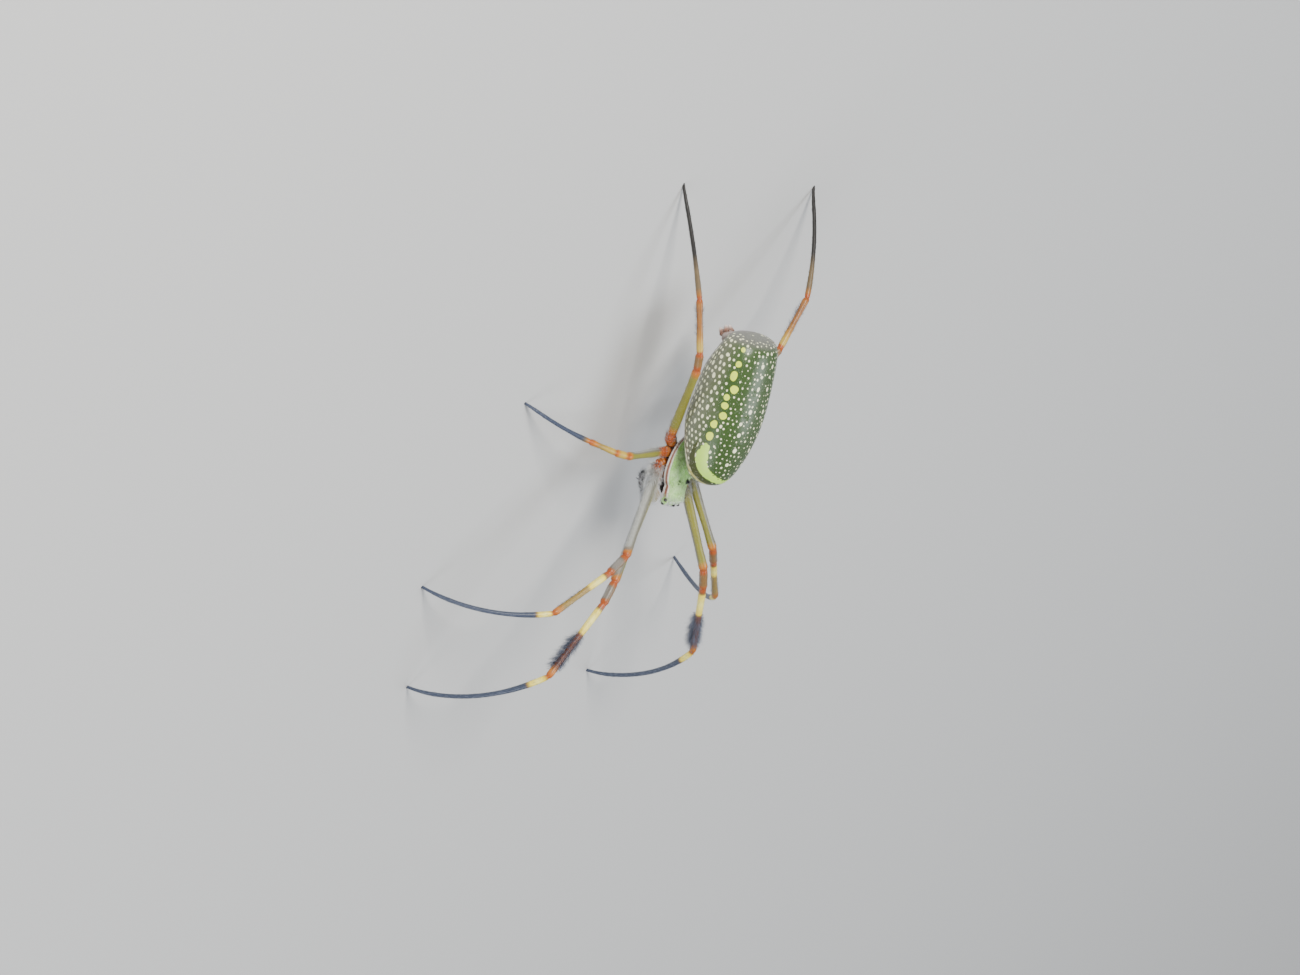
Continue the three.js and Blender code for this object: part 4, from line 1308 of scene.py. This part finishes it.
def makeEyes():
    lens = newMaterial("eyeLens", (0.012, 0.010, 0.008), (1.5, 0.1, 0.12, 0, 0.06), clear=1.0)
    for name, (x, y, z) in eyes["places"].items():
        for side in (-1, 1):
            shape = bmesh.new()
            bmesh.ops.create_uvsphere(shape, u_segments=28, v_segments=18, radius=eyes["radius"])
            bmesh.ops.translate(shape, vec=(side * x, y, z), verts=shape.verts)
            node = f"eye_{name}_{sideName(side)}"
            newPiece(f"lens_{name}_{sideName(side)}", inMetres(shape, frontPlace), lens, [node])


makeEyes()

maxilla = {"length": 1.6, "halfWidth": (0.42, even), "above": (0.42, even), "below": (0.42, even),
           "blunt": (3, 3)}
plates = {
    "sternum": {"length": 4.2, "halfWidth": (1.45, [(-1, 0.55), (-0.4, 1), (0.3, 0.85), (1, 0.15)]),
                "above": (0.36, even), "below": (0.36, even), "blunt": (4, 4), "square": 2.5,
                "at": (0, 0.65, -2.05), "turn": 0},
    "labium": {"length": 1.1, "halfWidth": (0.42, even), "above": (0.35, even), "below": (0.35, even),
               "blunt": (3, 3), "at": (0, -2.2, -2.05), "turn": 0},
    "maxilla_right": {**maxilla, "at": (-0.95, -2.25, -2.05), "turn": -12},
    "maxilla_left": {**maxilla, "at": (0.95, -2.25, -2.05), "turn": 12},
}


def makePlates(material, hair):
    way = frontPlace.to_3x3() @ Vector((0, -1, 0))
    for name, plate in plates.items():
        shape = roundedBody(bodyForm(plate), 48, 36)
        place = frontPlace @ Matrix.Translation(plate["at"]) @ turnBy(plate["turn"], "Z")
        piece = newPiece(f"{name}Plate", inMetres(shape, place), material, [name])
        growCoat(f"{name}Hair", piece, evenCoat(10, 0.35, 0.35, way), tufts["seta"], hair, 0.2,
                 31)


undersideShell = newMaterial("undersideShell", (0.10, 0.07, 0.045), (0.8, 0.5, 0.1, 0.5, 0.42))
makePlates(undersideShell, whiteDown)

jawCurve = [(-1, 0.8), (-0.5, 1), (0.3, 0.88), (1, 0.62)]
jaw = {"length": 3.2, "halfWidth": (0.875, jawCurve), "above": (1.045, jawCurve), "below": (0.855, jawCurve),
       "blunt": (4, 4), "forward": 4.2, "top": -0.55, "splay": 3, "gap": 0.12,
       "fangKnots": [(0, -35), (0.5, -25), (1.9, -95)],
       "fangRadius": [(0, 0.0), (0.06, 0.2), (0.4, 0.25), (0.8, 0.2), (1.3, 0.12), (1.75, 0.05), (1.9, 0.0)],
       "fangOut": 0.5, "fangBack": 0.1, "fangBelow": -0.12}
palp = {"side": 2.45, "forward": 3.2, "level": -1.6, "yaw": 84,
        "length": 6.2, "rings": 80, "ringGap": 0.0775,
        "knots": [(0, 55), (1.4, 52), (2.7, -95), (3.4, -118), (4.6, -145), (6.2, -158)],
        "radius": [(0, 0.25), (0.12, 0.34), (0.8, 0.36), (1.5, 0.37), (2.0, 0.34), (2.3, 0.36),
                   (2.42, 0.28), (2.6, 0.37), (3.0, 0.38), (3.3, 0.36), (3.42, 0.28), (3.6, 0.36),
                   (4.3, 0.37), (4.5, 0.28), (4.75, 0.34), (5.5, 0.31), (6.05, 0.25), (6.2, 0.1)]}


def makeJaw(side, shell, hair):
    x = side * (jaw["halfWidth"][0] + jaw["gap"])
    place = Matrix.Translation((x, -jaw["forward"], jaw["top"] - jaw["length"] / 2))
    place = place @ turnBy(side * -jaw["splay"], "Y") @ turnBy(-90, "X")
    word = sideName(side)
    shape = inMetres(roundedBody(bodyForm(jaw), 64, 48), frontPlace @ place)
    piece = newPiece(f"jaw_{word}", shape, shell, [f"chelicera_{word}"])
    down = frontPlace.to_3x3() @ Vector((0, -0.3, -1))
    growCoat(f"jawHair_{word}", piece, evenCoat(16, 0.26, 0.3, down), tufts["seta"], hair, 0.2, 41)
    fangPlace = Matrix.Translation((x + side * jaw["fangOut"], jaw["fangBack"] - jaw["forward"],
                                    jaw["top"] - jaw["length"] - jaw["fangBelow"]))
    if side > 0:
        fangPlace = fangPlace @ turnBy(180, "Z")
    fang = bentTube(LimbPath(jaw["fangKnots"]), [i * 0.05 for i in range(39)],
                    lambda s, angle: between(jaw["fangRadius"], s), 16, 1.9, frontPlace @ fangPlace)
    newPiece(f"fangClaw_{word}", fang, shell, [f"fang_{word}"])


def makePalp(side, shell, hair):
    place = frontPlace @ Matrix.Translation((side * palp["side"], -palp["forward"], palp["level"]))
    place = place @ limbTurn(side, palp["yaw"])
    path = LimbPath(palp["knots"])
    word = sideName(side)
    shape = bentTube(path, [i * palp["ringGap"] for i in range(palp["rings"] + 1)],
                     lambda s, angle: between(palp["radius"], s), 16, palp["length"], place)
    piece = newPiece(f"palpSkin_{word}", shape, shell, [f"palp_{word}"])
    turn = place.to_3x3()

    def rule(along, around, vert):
        full = softStep(0.25, 0.5, along)
        return 100 + 30 * full, 0.6 + 0.22 * full, 0.5, turn @ path.way(along * palp["length"])

    growCoat(f"palpHair_{word}", piece, rule, tufts["pair"], hair, 0.22, 51)


def palpHairColor(tree):
    along = attribute(tree, "along")
    mid = times(tree, remap(tree, along, 0.54, 0.60), remap(tree, along, 1.0, 0.96))
    black = times(tree, mid, remap(tree, grain(tree, 900.0), 0.42, 0.47))
    return blendColor(tree, (0.95, 0.95, 0.98), (0.02, 0.02, 0.03), black)


def palpColor(tree):
    stops = [(0, hues["orange"]), (0.35, hues["olive"]), (0.7, hues["brown"]), (0.9, hues["black"])]
    return colorRamp(tree, stops, attribute(tree, "along"))


jawShell = newMaterial("jawShell", (0.035, 0.016, 0.018), (0.8, 0.3, 0.1, 0.3, 0.25), clear=0.3)
palpSkin = newMaterial("palpSkin", palpColor, (0.5, 0.3, 0.08, 0.4, 0.45))
palpHair = hairMaterial("palpHair", palpHairColor, 0.25)
for side in (-1, 1):
    makeJaw(side, jawShell, paleHair)
    makePalp(side, palpSkin, palpHair)

waist = {"level": -0.5, "pitch": 15, "start": -0.5, "end": 0.9,
         "radius": [(0, 0.42), (0.5, 0.36), (1, 0.42)]}


def makeWaist(material):
    length = waist["end"] - waist["start"]
    place = Matrix.Translation(origin + Vector((0, carapace["back"] + 0.12 + waist["start"],
                                                frontBody["height"] + waist["level"]))) @ turnBy(90, "Z")
    path = LimbPath([(0, waist["pitch"]), (length, waist["pitch"])])
    shape = bentTube(path, [i * length / 16 for i in range(17)],
                     lambda s, angle: between(waist["radius"], s / length), 20, length, place)
    newPiece("waistSkin", shape, material, ["pedicel"])


makeWaist(palpSkin)
print("stage: front body")
